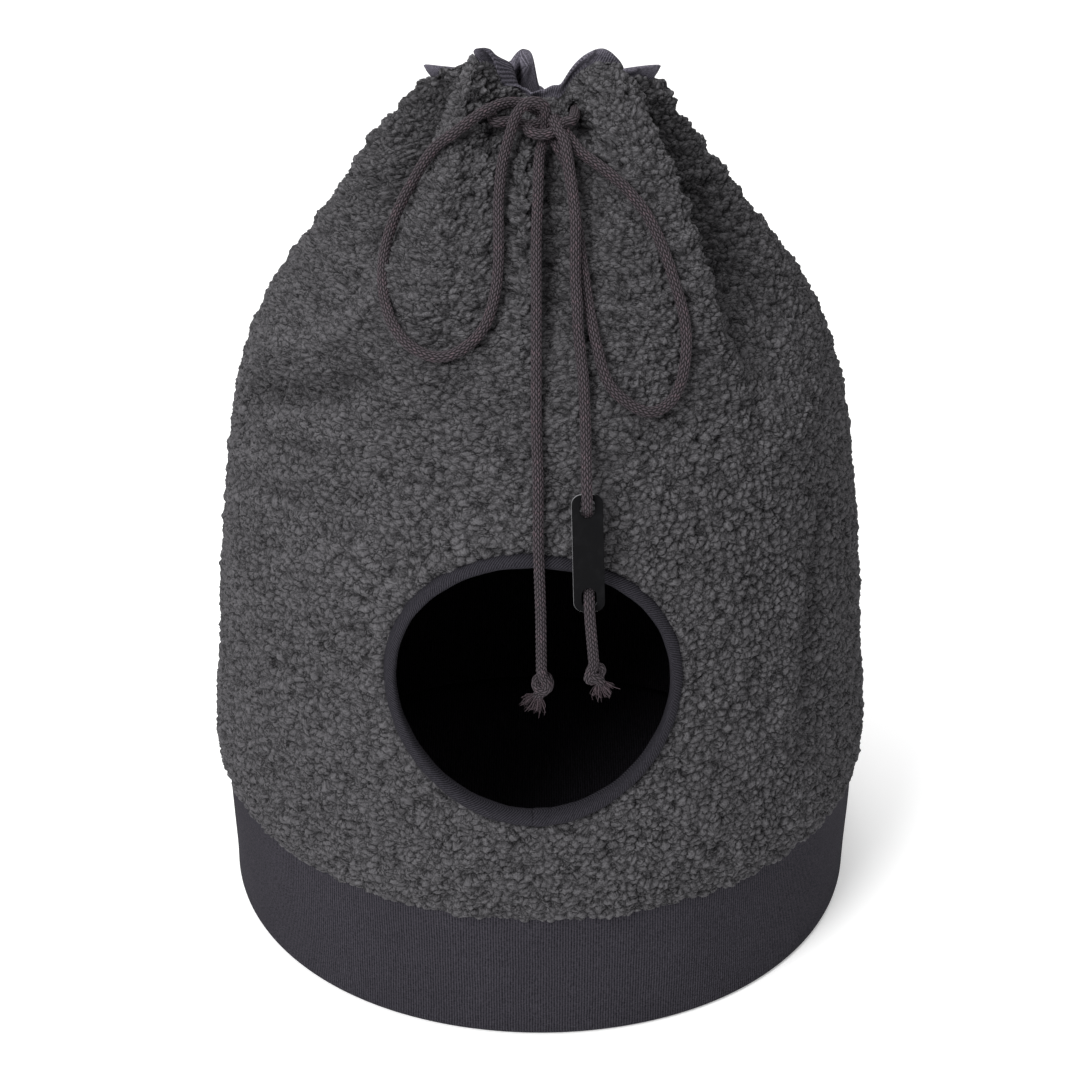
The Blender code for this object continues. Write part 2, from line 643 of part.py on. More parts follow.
def main():
    clear_scene()
    group = collection("felt_cat_cave")
    cutters = collection("cutters")
    pile = material("grey_pile", (0.085, 0.085, 0.090), 0.95)
    canvas = material("dark_canvas", (0.045, 0.043, 0.050), 0.85)
    cord = material("braided_cord", (0.075, 0.065, 0.072), 0.9)
    black = material("black_tag", (0.008, 0.008, 0.009), 0.5)
    make_sherpa_wall(group, cutters, pile)
    make_top_facing(group, canvas)
    make_base_band(group, canvas)
    make_base_floor(group, canvas)
    make_entrance_binding(group, canvas)
    for name, route in CORD_ROUTES.items():
        make_cord(name, route, group, cord)
    make_bow_knot(group, cord)
    make_cord_tag(group, black)
    for row in END_KNOTS:
        make_end_knot(row, group, cord)


main()
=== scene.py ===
# %% [markdown]
# # Dressing a soft cat den
#
# The den is a gathered sack of curly pile on a canvas base, with a round bound entrance and a drawstring
# tied in a bow. A packed set of plain solids fixes every size and place. This lesson loads those solids as
# a frame and replaces each with a piece that has the real one's curls, braid and weave.

# %% Load the frame
import math

import bpy
import numpy as np
from mathutils import Matrix, Vector


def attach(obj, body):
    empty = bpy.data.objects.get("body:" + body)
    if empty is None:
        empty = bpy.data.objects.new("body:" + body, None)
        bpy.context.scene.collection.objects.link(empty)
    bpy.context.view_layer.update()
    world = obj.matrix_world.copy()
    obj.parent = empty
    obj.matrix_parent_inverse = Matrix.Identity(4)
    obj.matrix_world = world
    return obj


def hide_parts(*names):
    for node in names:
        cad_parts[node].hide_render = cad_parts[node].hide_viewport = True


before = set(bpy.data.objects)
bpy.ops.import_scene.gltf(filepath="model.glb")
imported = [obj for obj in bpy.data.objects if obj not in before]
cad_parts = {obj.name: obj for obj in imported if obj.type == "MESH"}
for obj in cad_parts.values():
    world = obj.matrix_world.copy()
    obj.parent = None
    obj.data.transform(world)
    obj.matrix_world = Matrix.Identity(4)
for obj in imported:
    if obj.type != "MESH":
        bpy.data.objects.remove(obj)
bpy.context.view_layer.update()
print("solids to dress:", ", ".join(sorted(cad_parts)))

# %% [markdown]
# ## Camera, floor and light
#
# The photograph was taken from about 30 degrees above, from far enough off that the sides hardly
# converge, so the lens is long. The floor is plain and pale. One large soft light stands high at the front
# left, so the right-hand side falls off a little, and the pale surroundings fill the shadows.

# %% The camera
CAMERA_PLACE = (0.0, -1.5792, 1.14736)
CAMERA_PITCH = math.radians(90.0 - 30.127)
CAMERA_LENS = 96.89
CAMERA_SENSOR = 36.0

scene = bpy.context.scene
camera_data = bpy.data.cameras.new("photo_camera")
camera_data.lens = CAMERA_LENS
camera_data.sensor_width = CAMERA_SENSOR
camera = bpy.data.objects.new("photo_camera", camera_data)
camera.location = CAMERA_PLACE
camera.rotation_euler = (CAMERA_PITCH, 0.0, 0.0)
scene.collection.objects.link(camera)
scene.camera = camera
print("camera looks down by", round(90 - math.degrees(CAMERA_PITCH), 1), "degrees")

# %% [markdown]
# Every finish below is a small graph of nodes. Adding and linking them one by one makes long code in
# which the idea is hard to see, so a socket is wrapped in a class whose plus, minus and times signs add
# the nodes. A finish then reads like the sum that it is.

# %% Node maths as Python expressions
class Value:
    """A socket on its way through a node tree. Python's own signs add the nodes that work on it."""

    def __init__(self, maker, socket):
        self.maker = maker
        self.socket = socket

    def worked(self, sign, left, right):
        """The node for a sign. A bare number beside a place or a colour stands for all its parts."""
        kinds = [side.socket.type for side in (left, right) if isinstance(side, Value)]
        if "VECTOR" in kinds:
            left, right = (side if hasattr(side, "__len__") or isinstance(side, Value) else (side,) * 3
                           for side in (left, right))
            return self.maker.node("VectorMath", {"operation": sign}, {0: left, 1: right})
        if "RGBA" in kinds:
            left, right = (side if isinstance(side, Value) else (side, side, side, 1.0)
                           for side in (left, right))
            settings = {"data_type": "RGBA", "blend_type": sign}
            return self.maker.node("Mix", settings, {0: 1.0, 6: left, 7: right}, 2)
        return self.maker.node("Math", {"operation": sign}, {0: left, 1: right})

    def __add__(self, other):
        return self.worked("ADD", self, other)

    def __radd__(self, other):
        return self.worked("ADD", other, self)

    def __sub__(self, other):
        return self.worked("SUBTRACT", self, other)

    def __rsub__(self, other):
        return self.worked("SUBTRACT", other, self)

    def __mul__(self, other):
        return self.worked("MULTIPLY", self, other)

    def __rmul__(self, other):
        return self.worked("MULTIPLY", other, self)

    def math(self, operation):
        return self.maker.node("Math", {"operation": operation}, {0: self})

    def beside(self, output):
        """Another output of the same node."""
        return Value(self.maker, self.socket.node.outputs[output])

    def dot(self, other):
        return self.maker.node("VectorMath", {"operation": "DOT_PRODUCT"}, {0: self, 1: other}, 1)

    def size(self):
        """How far a number is from zero."""
        return self.math("ABSOLUTE")

    def wrapped(self):
        """The part after the whole number."""
        return self.math("FRACT")

    def times(self, length):
        """A direction made as long as another value says."""
        return self.maker.node("VectorMath", {"operation": "SCALE"}, {0: self, 3: length})

    def direction(self):
        return self.maker.node("VectorMath", {"operation": "NORMALIZE"}, {0: self})

    def wave(self, period):
        """0 to 1 and back, once for each period."""
        return (self * (2 * math.pi / period)).math("SINE") * 0.5 + 0.5

    def clamp(self):
        return self.maker.node("Clamp", {}, {0: self})

    def ramp(self, low, high):
        """0 up to low, 1 from high on, and a smooth rise between them."""
        return self.maker.node("MapRange", {"interpolation_type": "SMOOTHSTEP"}, {0: self, 1: low, 2: high})

    def between(self, low, high):
        """A colour from low to high as this value goes from 0 to 1."""
        colours = [colour if isinstance(colour, Value) else (*colour, 1.0) for colour in (low, high)]
        return self.maker.node("Mix", {"data_type": "RGBA"}, {0: self, 6: colours[0], 7: colours[1]}, 2)


class Maker:
    """A node tree, and the way that nodes are added to it."""

    def __init__(self, tree):
        self.tree = tree

    def node(self, kind, settings, inputs, output=0):
        prefix = "" if kind.startswith(("Geometry", "Node")) else "ShaderNode"
        made = self.tree.nodes.new(prefix + kind)
        for name, value in settings.items():
            setattr(made, name, value)
        for name, value in inputs.items():
            self.feed(made.inputs[name], value)
        return Value(self, made.outputs[output]) if len(made.outputs) else made

    def feed(self, socket, value):
        if isinstance(value, Value):
            self.tree.links.new(value.socket, socket)
        else:
            socket.default_value = value

    def noise(self, place, size, detail=2.0, output=0):
        return self.node("TexNoise", {}, {"Vector": place, "Scale": 1.0 / size, "Detail": detail}, output)


class Finish(Maker):
    """One material."""

    def __init__(self, name, roughness, **constants):
        self.material = bpy.data.materials.new(name)
        self.material.use_nodes = True
        super().__init__(self.material.node_tree)
        self.shader = self.tree.nodes["Principled BSDF"]
        self.shader.inputs["Roughness"].default_value = roughness
        for socket, value in constants.items():
            self.shader.inputs[socket.replace("_", " ")].default_value = value
        self.place = self.node("TexCoord", {}, {}, "Object")

    def stored(self, name, output="Fac"):
        """What the mesh keeps at each of its points under a name, as a number or as a place."""
        return self.node("Attribute", {"attribute_name": name}, {}, output)

    def use(self, colour, height=None, depth=0.001):
        self.feed(self.shader.inputs["Base Color"], colour)
        if height is not None:
            bump = self.node("Bump", {}, {"Height": height, "Distance": depth, "Strength": 1.0}, "Normal")
            self.feed(self.shader.inputs["Normal"], bump)
        return self.material


print("shader helper ready")

# %% [markdown]
# The floor is stage, not part of the den. It is nearly white, so it throws soft light back up at the
# den's sides as a studio's paper does.

# %% The floor and the light
FLOOR_HALF = 9.0
FLOOR_WHITE = 0.93
FLOOR_GLOW = 0.30
KEY_PLACE = (-1.45, -2.1, 2.5)
KEY_SIZE = 1.7
KEY_POWER = 94
TOP_PLACE = (-0.2, 0.3, 2.6)
TOP_SIZE = 2.2
TOP_POWER = 45
LIGHTS_AIM = (0.0, 0.0, 0.25)
SURROUND = 0.38


def make_floor():
    corners = [(-FLOOR_HALF, -FLOOR_HALF, 0), (FLOOR_HALF, -FLOOR_HALF, 0),
               (FLOOR_HALF, FLOOR_HALF, 0), (-FLOOR_HALF, FLOOR_HALF, 0)]
    data = bpy.data.meshes.new("studio_floor")
    data.from_pydata(corners, [], [(0, 1, 2, 3)])
    floor = bpy.data.objects.new("studio_floor", data)
    scene.collection.objects.link(floor)
    paper = Finish("studio_paper", 0.9, Emission_Color=(1.0, 1.0, 1.0, 1.0), Emission_Strength=FLOOR_GLOW)
    data.materials.append(paper.use((FLOOR_WHITE,) * 3 + (1.0,)))


def soft_light(name, place, size, power):
    data = bpy.data.lights.new(name, "AREA")
    data.shape = "DISK"
    data.size = size
    data.energy = power
    light = bpy.data.objects.new(name, data)
    light.location = place
    towards = Vector(LIGHTS_AIM) - Vector(place)
    light.rotation_euler = towards.to_track_quat("-Z", "Y").to_euler()
    scene.collection.objects.link(light)


make_floor()
soft_light("key_light", KEY_PLACE, KEY_SIZE, KEY_POWER)
soft_light("top_light", TOP_PLACE, TOP_SIZE, TOP_POWER)
world = bpy.data.worlds.new("studio")
world.use_nodes = True
world.node_tree.nodes["Background"].inputs["Color"].default_value = (1.0, 1.0, 1.0, 1.0)
world.node_tree.nodes["Background"].inputs["Strength"].default_value = SURROUND
scene.world = world
scene.view_settings.view_transform = "Standard"
print("studio: floor, key light, top light")

# %% [markdown]
# ## The drawstring
#
# The cord is a soft round braid, 6 mm thick. Each half leaves the cloth at a slot, runs through the knot,
# makes its loop, comes back through the knot and hangs down as a tail with an overhand knot at its end.
# A curve with a round bevel would be quicker, but would look like plastic. So the tube is a grid of points
# whose own surface is raised strand by strand. Every half is one long mesh, and its route repeats the
# points of the solids that it replaces.

# %% A smooth line through listed points
CORD_DIAMETER = 0.006
CORD_STEP = 0.0006
CORD_SIDES = 40
ROUTE_SAMPLES = 16
TURN_ROUNDING = 0.0014


def running_total(steps):
    return np.concatenate([[0.0], np.cumsum(steps)])


def evenly_spaced(line, step):
    travelled = running_total(np.linalg.norm(np.diff(line, axis=0), axis=1))
    wanted = np.linspace(0.0, travelled[-1], max(2, int(round(travelled[-1] / step))) + 1)
    return np.column_stack([np.interp(wanted, travelled, line[:, axis]) for axis in range(3)])


def smooth_line(points, step):
    """Evenly spaced points on the smooth curve through a route in mm, its tightest turns rounded off."""
    points = np.array(points, float) / 1000
    padded = np.vstack([2 * points[:1] - points[1:2], points, 2 * points[-1:] - points[-2:-1]])
    share = np.linspace(0.0, 1.0, ROUTE_SAMPLES, endpoint=False)[:, None]
    runs = []
    for before, start, end, beyond in zip(padded, padded[1:], padded[2:], padded[3:]):
        runs.append((2 * start + (end - before) * share
                     + (2 * before - 5 * start + 4 * end - beyond) * share ** 2
                     + (3 * start - before - 3 * end + beyond) * share ** 3) / 2)
    line = evenly_spaced(np.vstack(runs + [points[-1:]]), step)
    reach = int(round(3 * TURN_ROUNDING / step))
    weights = np.exp(-0.5 * (np.arange(-reach, reach + 1) * step / TURN_ROUNDING) ** 2)
    weights /= weights.sum()
    wide = np.vstack([2 * line[:1] - line[reach:0:-1], line, 2 * line[-1:] - line[-2:-reach - 2:-1]])
    rounded = np.column_stack([np.convolve(wide[:, axis], weights, "valid") for axis in range(3)])
    return evenly_spaced(rounded, step)


def unit(vectors):
    return vectors / np.maximum(np.linalg.norm(vectors, axis=-1, keepdims=True), 1e-12)


def side_directions(line):
    """Two directions square to a line at each point, carried along it without twisting."""
    along = unit(np.gradient(line, axis=0))
    aside = np.zeros_like(line)
    aside[0] = np.cross(along[0], (0.0, 1.0, 0.2))
    for index in range(1, len(line)):
        carried = aside[index - 1]
        aside[index] = carried - along[index] * carried.dot(along[index])
    aside = unit(aside)
    return aside, np.cross(along, aside)


# %% [markdown]
# Most pieces here are a grid of points that is wrapped round something. Working the points out as whole
# arrays is much quicker than adding them one by one, and the same few helpers serve cords and cloth.

# %% A mesh from a grid of points
def keep(data, domain, stored):
    """Keep numbers or places on a mesh under their names, for a finish to read."""
    for label, numbers in stored.items():
        numbers = np.ascontiguousarray(numbers, np.float32)
        is_place = numbers.ndim > 1 and numbers.shape[-1] == 3
        layer = data.attributes.new(label, "FLOAT_VECTOR" if is_place else "FLOAT", domain)
        layer.data.foreach_set("vector" if is_place else "value", numbers.ravel())


def link_piece(name, points, faces, finish, stands_for=(), stored=None, normals=None):
    """Make a piece that rides with the den and stands for some solids, with what its finish reads."""
    data = bpy.data.meshes.new(name)
    data.from_pydata(points.reshape(-1, 3).tolist(), [], faces)
    keep(data, "POINT", stored or {})
    data.shade_smooth()
    if normals is not None:
        data.normals_split_custom_set_from_vertices(normals.tolist())
    data.materials.append(finish)
    return ride_as_piece(data, stands_for)


def ride_as_piece(data, stands_for):
    piece = bpy.data.objects.new(data.name, data)
    scene.collection.objects.link(piece)
    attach(piece, "root")
    if stands_for:
        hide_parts(*stands_for)
    print(f"{piece.name}: {len(data.polygons)} faces")
    return piece


def grid_faces(rows, columns, closed):
    """Four-sided faces of a grid of points. A closed grid joins its last column to its first."""
    spans = columns if closed else columns - 1
    row, column = np.meshgrid(np.arange(rows - 1), np.arange(spans), indexing="ij")
    after = (column + 1) % columns
    corners = [row * columns + column, row * columns + after, (row + 1) * columns + after,
               (row + 1) * columns + column]
    return np.stack(corners, axis=-1).reshape(-1, 4)


def ring_points(reach, angle, height):
    """Points round the den's axis, from how far out, on what bearing and how high each is."""
    heights = np.full_like(angle, height)
    return np.stack([reach * np.cos(angle), reach * np.sin(angle), heights], axis=-1)


# %% [markdown]
# In a round braid the strands lean one way in one row and the other way in the next. Each column here is
# two such rows side by side, and the second starts half a strand later, as the strands cross in turn.

# %% The braid's pattern
BRAID_COLUMNS = 6
BRAID_PITCH = 0.0032
BRAID_SLANT = 1.15
BRAID_RELIEF = 0.00055
BRAID_MEAN_HEIGHT = 0.75
STRAND_ENDS_DIVE = 0.9


def braid_height(turns, along):
    """How high the braid stands, from 0 to 1."""
    place = np.mod(turns * BRAID_COLUMNS, 1.0)
    arm = np.abs(place - 0.5)
    across = np.mod(along / BRAID_PITCH + arm * BRAID_SLANT + np.floor(place * 2) * 0.5, 1.0) - 0.5
    lengthwise = np.abs(arm - 0.25) * 4
    return np.sqrt(np.maximum(0.0, 1.0 - (2.0 * across) ** 2)) * (1.0 - STRAND_ENDS_DIVE * lengthwise ** 2)


def braided_tube(name, line, thick, stands_for):
    """A braided cord, closed at both ends, that keeps its turn and its length on its corners."""
    aside, other = side_directions(line)
    step = np.linalg.norm(line[1] - line[0])
    along = np.arange(len(line))[:, None] * step
    turns = np.arange(CORD_SIDES)[None, :] / CORD_SIDES
    reach = thick / 2 + BRAID_RELIEF * (braid_height(turns, along) - BRAID_MEAN_HEIGHT)
    angle = 2 * math.pi * turns
    points = (line[:, None, :] + reach[..., None] * (np.cos(angle)[..., None] * aside[:, None, :]
                                                     + np.sin(angle)[..., None] * other[:, None, :]))
    faces = grid_faces(len(line), CORD_SIDES, True)
    row, column = np.divmod(np.arange(len(faces)), CORD_SIDES)
    corner_turns = np.stack([column, column + 1, column + 1, column], axis=1) / CORD_SIDES
    corner_along = np.stack([row, row, row + 1, row + 1], axis=1) * step
    on_caps = np.zeros(2 * CORD_SIDES)
    tube = link_piece(name, points, with_end_caps(faces, len(line), CORD_SIDES), cord_finish,
                      stands_for)
    keep(tube.data, "CORNER", {"braid_turn": np.append(corner_turns, on_caps),
                               "braid_along": np.append(corner_along, on_caps)})
    return tube


def with_end_caps(faces, rows, sides):
    """A tube's faces and the two that close its ends."""
    first = list(range(sides))
    last = [(rows - 1) * sides + corner for corner in first]
    return faces.tolist() + [first[::-1], last]


# %% [markdown]
# The cord's yarn is purple-grey with a few warmer and paler strands. Painted shade darkens it where the
# strands dive under each other, and each strand's round top is painted lighter. The mesh keeps each place's
# turn and length along the cord, so the finish can work out the same strands again, and the painted shade
# follows the relief.

# %% The cord's finish
# the darkest yarn of the frayed threads, and also the painted shade between the cord's strands
CORD_DARK_YARN_AND_SHADE = (0.0065, 0.0052, 0.0060)
CORD_MAIN = (0.064, 0.052, 0.060)
CORD_WARM = (0.094, 0.068, 0.079)


def make_cord_finish():
    """The fibres, painted shade between the strands with a lighter painted round top, and a few warmer
    patches.
    """
    yarn = Finish("braided_cord_yarn", 0.9, Specular_IOR_Level=0.25)
    fibres = yarn.noise(yarn.place, 0.0007, 3.0)
    column = yarn.stored("braid_turn") * BRAID_COLUMNS
    arm = (column.wrapped() - 0.5).size()
    right_arm = column.wrapped() * 2.0 - (column * 2.0).wrapped()
    along = yarn.stored("braid_along") * (1 / BRAID_PITCH) + arm * BRAID_SLANT + right_arm * 0.5
    across = (along.wrapped() - 0.5).size() * 2.0
    inside = (arm - 0.25).size() * 4.0
    strand = (1.0 - across * across) * (1.0 - inside * inside * 0.85)
    # painted shade: the colour runs to the dark end where the strands dive under each other
    top = (strand * 1.5 + (fibres - 0.5) * 0.9 - 0.26).clamp()
    warm = yarn.noise(yarn.place, 0.0032, 1.0).ramp(0.56, 0.66)
    colour = top.between(CORD_DARK_YARN_AND_SHADE, warm.between(CORD_MAIN, CORD_WARM))
    faded = colour * (0.85 + yarn.noise(yarn.place, 0.012) * 0.3)
    return yarn.use(faded, strand * 0.8 + fibres * 0.35, 0.0005)


def make_fray_finish():
    yarn = Finish("frayed_yarn", 0.9, Specular_IOR_Level=0.25)
    return yarn.use(yarn.stored("thread_tone").between(CORD_DARK_YARN_AND_SHADE, CORD_WARM))


cord_finish = make_cord_finish()
fray_finish = make_fray_finish()

# %% [markdown]
# Inside the knot each half turns sharply. What shows is the left half's strand coming over the top, the
# right half's turn across the front, and the two tails dropping out from under it. A route is a list of
# places in millimetres that the cord's middle passes.

# %% The two halves' routes
LEFT_ROUTE = [
    (-27.5, -45, 534.5), (-25, -56.8, 534), (-19, -56.3, 534), (-14, -56.9, 534), (-10.3, -58.7, 533.8),
    (-4.5, -58, 532.5), (1, -55, 533.5), (0.5, -51.5, 537.5), (-5, -50, 540.3), (-12, -48, 542),
    (-22, -52.5, 543), (-34, -62, 540.5), (-47, -69, 533), (-59, -68, 523), (-71, -69, 504),
    (-81, -73, 485), (-87, -84, 469), (-88, -101, 455), (-83, -122, 443), (-72, -136, 434),
    (-57, -142, 430), (-43, -141, 434), (-31, -134, 444), (-25, -122, 458), (-23, -110, 473),
    (-23, -98, 487), (-23, -86, 500), (-21, -73.5, 516), (-18.7, -69, 524), (-16.3, -66.2, 532),
    (-13.6, -63.4, 539.5), (-9.5, -61.6, 545.5), (-3.8, -61.2, 548), (1.6, -60.7, 546), (3.4, -60.5, 541.5),
    (3.4, -60, 534.5), (2.5, -61.5, 528), (1, -66.5, 523.5), (-0.5, -73, 518), (-1, -85, 507),
    (-2, -105, 484), (-2, -125, 459), (-2, -148, 431), (-2, -167, 401), (-1, -181, 371), (-1, -189.5, 342),
    (-0.5, -193.5, 325.5), (0, -194.8, 310), (0.4, -195, 295), (0.6, -195, 278), (0.8, -195, 258),
]
RIGHT_ROUTE = [
    (20.2, -39, 534.5), (19.6, -48, 535.5), (18.8, -58, 536.4), (17.2, -63.2, 537), (15, -61.5, 536.2),
    (11, -64, 534.5), (6.5, -68, 532.2), (1, -68.8, 531.2), (-4.5, -66.5, 531.5), (-7, -61, 532),
    (-4, -56, 531), (3, -57, 528.5), (6.8, -61, 526.2), (9.5, -66.8, 524.2), (15, -75, 516), (18, -85, 505),
    (21, -99, 487), (24, -113, 470), (27, -125, 453), (31, -139, 437), (37, -151, 420), (47, -156, 410),
    (60, -156, 403), (71, -150, 405), (78, -142, 414), (81, -133, 430), (80, -123, 445), (75, -114, 461),
    (68, -104, 479), (59, -95, 495), (47, -88, 508), (34, -81, 517), (23.5, -74.5, 522.5),
    (16.8, -67.5, 528.5), (12, -60, 533), (8.5, -58, 536.5), (7.5, -63, 537.5), (10, -69.5, 534.5),
    (13.5, -74.5, 530), (15.5, -81.5, 522.5), (17.5, -90, 511), (19.5, -103.5, 495), (19.5, -112.5, 481.5),
    (19.5, -120.5, 470), (20.5, -131, 455.5), (21, -137.5, 445), (22.5, -145, 432), (24, -153.5, 420),
    (25, -167.5, 400), (25.3, -180, 385.9), (25.5, -187.3, 379.5), (25.6, -191.9, 373.8),
    (25.8, -193.7, 368.4), (25.9, -193.1, 364.4), (25.9, -190.2, 361.6), (26, -187.4, 358.7),
    (26.1, -186.8, 354.8), (26.2, -187.6, 349.8), (26.4, -188.9, 343), (26.6, -190.5, 334.8),
    (26.8, -192.1, 326.7), (27, -193.6, 319.8), (27.1, -194.8, 315), (27.2, -196.8, 311.5),
    (27.3, -200.6, 310), (27.3, -204.3, 308.5), (27.4, -206.3, 305.1), (28, -207.9, 297),
    (28.8, -208.4, 288), (30, -208.5, 273.5),
]


def line_length(line):
    return float(np.linalg.norm(np.diff(line, axis=0), axis=1).sum())


left_line = smooth_line(LEFT_ROUTE, CORD_STEP)
right_line = smooth_line(RIGHT_ROUTE, CORD_STEP)
left_cord = braided_tube("left_drawstring", left_line, CORD_DIAMETER,
                         ["left_lead", "left_loop", "left_tail", "bow_knot"])
right_cord = braided_tube("right_drawstring", right_line, CORD_DIAMETER,
                          ["right_lead", "right_loop", "right_tail"])
print(f"drawstring halves: left {line_length(left_line):.3f} m, right {line_length(right_line):.3f} m")

# %% [markdown]
# An overhand knot in a soft braid pulls into a ball in which one slanting turn shows over another. Below it
# the braid ends in a short stub whose yarns have come apart. The knot is a short braided tube wound
# round itself, and the fray is some dozens of thin bent threads.

# %% The end knots
KNOT_TIGHTNESS = 0.82
THREADS = 72
THREAD_RADIUS = 0.00032
THREAD_POINTS = 7
THREAD_BEARINGS = (0.0, 2.094, 4.189)
GOLDEN_ANGLE = 2.39996
FRAY_RADIUS = 0.0026
FRAY_ROOT_DEPTH = 0.002
FRAY_BEND = 0.16
THREAD_TAPER = 0.6
END_KNOTS = {
    "left": dict(
        route=[(0.8, -195, 260), (1.6, -196.2, 256), (5.2, -199, 251.5), (3, -199.5, 247.8),
               (-1.8, -197.5, 247.8), (-3.2, -193.5, 250.5), (0.2, -190.8, 253.5), (4.6, -192, 253.5),
               (5.8, -195.8, 249), (3, -196.5, 245.5), (-0.4, -195.5, 242.5), (-2.2, -195, 240)],
        thick=0.0058, root=(-0.0022, -0.1950, 0.2400), tuft=(-0.45, -0.05, -1.0), spread=0.95, long=0.0100,
    ),
    "right": dict(
        route=[(30, -208.5, 274.5), (29.6, -209.6, 270.5), (27.2, -212, 266.8), (26.2, -211.8, 262.8),
               (30, -209.8, 261.2), (34.5, -206.8, 264), (35.2, -205.8, 268.2), (31.2, -206.6, 270),
               (27.6, -209, 269), (29, -212.2, 265.5), (33.5, -212.2, 263.2), (34.5, -210, 260),
               (34, -209, 257.5)],
        thick=0.0056, root=(0.0340, -0.2090, 0.2580), tuft=(0.40, -0.05, -1.0), spread=0.85, long=0.0100,
    ),
}


def frayed_threads(name, shape, seed):
    """Thin three-sided threads that fan out from a cord's end and bend as they go."""
    random = np.random.default_rng(seed)
    long = shape["long"]
    direction = unit(np.array(shape["tuft"], float))
    aside = unit(np.cross(direction, (0.0, 1.0, 0.0)))
    other = np.cross(direction, aside)
    along = np.linspace(0.0, 1.0, THREAD_POINTS)[:, None]
    points = []
    faces = []
    for index in range(THREADS):
        share = math.sqrt((index + 0.5) / THREADS)
        bearing = index * GOLDEN_ANGLE + random.uniform(-0.4, 0.4)
        sideways = aside * math.cos(bearing) + other * math.sin(bearing)
        fan = shape["spread"] * share * random.uniform(0.6, 1.3)
        start = np.array(shape["root"]) + sideways * FRAY_RADIUS * share - direction * FRAY_ROOT_DEPTH
        end = start + unit(direction + sideways * fan) * long * random.uniform(0.55, 1.15)
        bend = (aside * random.normal() + other * random.normal()) * long * FRAY_BEND
        line = start + (end - start) * along + bend * np.sin(math.pi * along) * along
        across, over = side_directions(line)
        radius = THREAD_RADIUS * random.uniform(0.8, 1.5) * (1.0 - THREAD_TAPER * along)
        base = len(points) * THREAD_POINTS
        points += [line + radius * (across * math.cos(angle) + over * math.sin(angle))
                   for angle in THREAD_BEARINGS]
        for side in range(len(THREAD_BEARINGS)):
            for step in range(THREAD_POINTS - 1):
                here = base + side * THREAD_POINTS + step
                there = base + (side + 1) % len(THREAD_BEARINGS) * THREAD_POINTS + step
                faces.append((here, there, there + 1, here + 1))
    tone = random.uniform(0.2, 1.0, THREADS).repeat(len(THREAD_BEARINGS) * THREAD_POINTS)
    return link_piece(name, np.vstack(points), faces, fray_finish,
                      stored={"thread_tone": tone})


def make_end_knot(side, shape, seed):
    route = np.array(shape["route"])
    middle = route[2:-2].mean(axis=0)
    route[1:-1] = middle + (route[1:-1] - middle) * KNOT_TIGHTNESS
    line = smooth_line(route, CORD_STEP)
    knot = braided_tube(f"{side}_end_knot", line, shape["thick"], [f"end_knot_{side}"])
    return [knot, frayed_threads(f"{side}_fray", shape, seed)]


left_end = make_end_knot("left", END_KNOTS["left"], seed=21)
right_end = make_end_knot("right", END_KNOTS["right"], seed=22)

# %% [markdown]
# The tag is a thin black strip with round corners and a slot near each end. The cord goes in at the upper
# slot and comes out at the lower one. Its cut edge is paler than its face, and on the edges that face left,
# towards the key light, that pale colour is also a painted highlight; the edges that face right keep the
# face's colour. A flat curve with holes, given a thickness and a bevel, is the quickest way to a strip like
# this.

# %% The tag
TAG_WIDTH = 0.0175
TAG_LENGTH = 0.0686
TAG_THICKNESS = 0.0014
TAG_CORNER = 0.0058
TAG_SLOT_WIDTH = 0.0082
TAG_SLOT_LENGTH = 0.0118
TAG_SLOT_FROM_END = 0.0080
TAG_CENTRE = (0.0266, -0.1954, 0.3358)
TAG_UP = (-0.025, 0.196, 0.980)
TAG_BEVEL = 0.00032
TAG_FACE = (0.0052, 0.0052, 0.0058)
TAG_WORN = (0.0095, 0.0095, 0.0105)
TAG_EDGE_AND_HIGHLIGHT = (0.10, 0.10, 0.105)
TAG_EDGE_AND_HIGHLIGHT_PALE = (0.24, 0.24, 0.25)


def rounded_outline(half_width, half_length, corner, centre_y=0.0, steps=10):
    points = []
    for quarter, (sx, sy) in enumerate([(1, 1), (-1, 1), (-1, -1), (1, -1)]):
        for step in range(steps + 1):
            angle = math.radians(90 * (quarter + step / steps))
            points.append((sx * (half_width - corner) + corner * math.cos(angle),
                           sy * (half_length - corner) + corner * math.sin(angle) + centre_y))
    return points


def make_tag_finish():
    face = Finish("black_tag_face", 0.7, Specular_IOR_Level=0.04)
    grain = face.noise(face.place, 0.0011, 4.0)
    wear = (face.noise(face.place, 0.006, 3.0) * 2.4 - 1.25).clamp()
    return face.use(wear.between(TAG_FACE, TAG_WORN), grain, 0.00012)


def make_tag_lit_edge_finish():
    edge = Finish("black_tag_cut_edge_highlight", 0.6)
    # the cut edge's paler colour, brightened further as a painted highlight
    return edge.use(edge.noise(edge.place, 0.0016, 3.0).between(TAG_EDGE_AND_HIGHLIGHT, TAG_EDGE_AND_HIGHLIGHT_PALE))


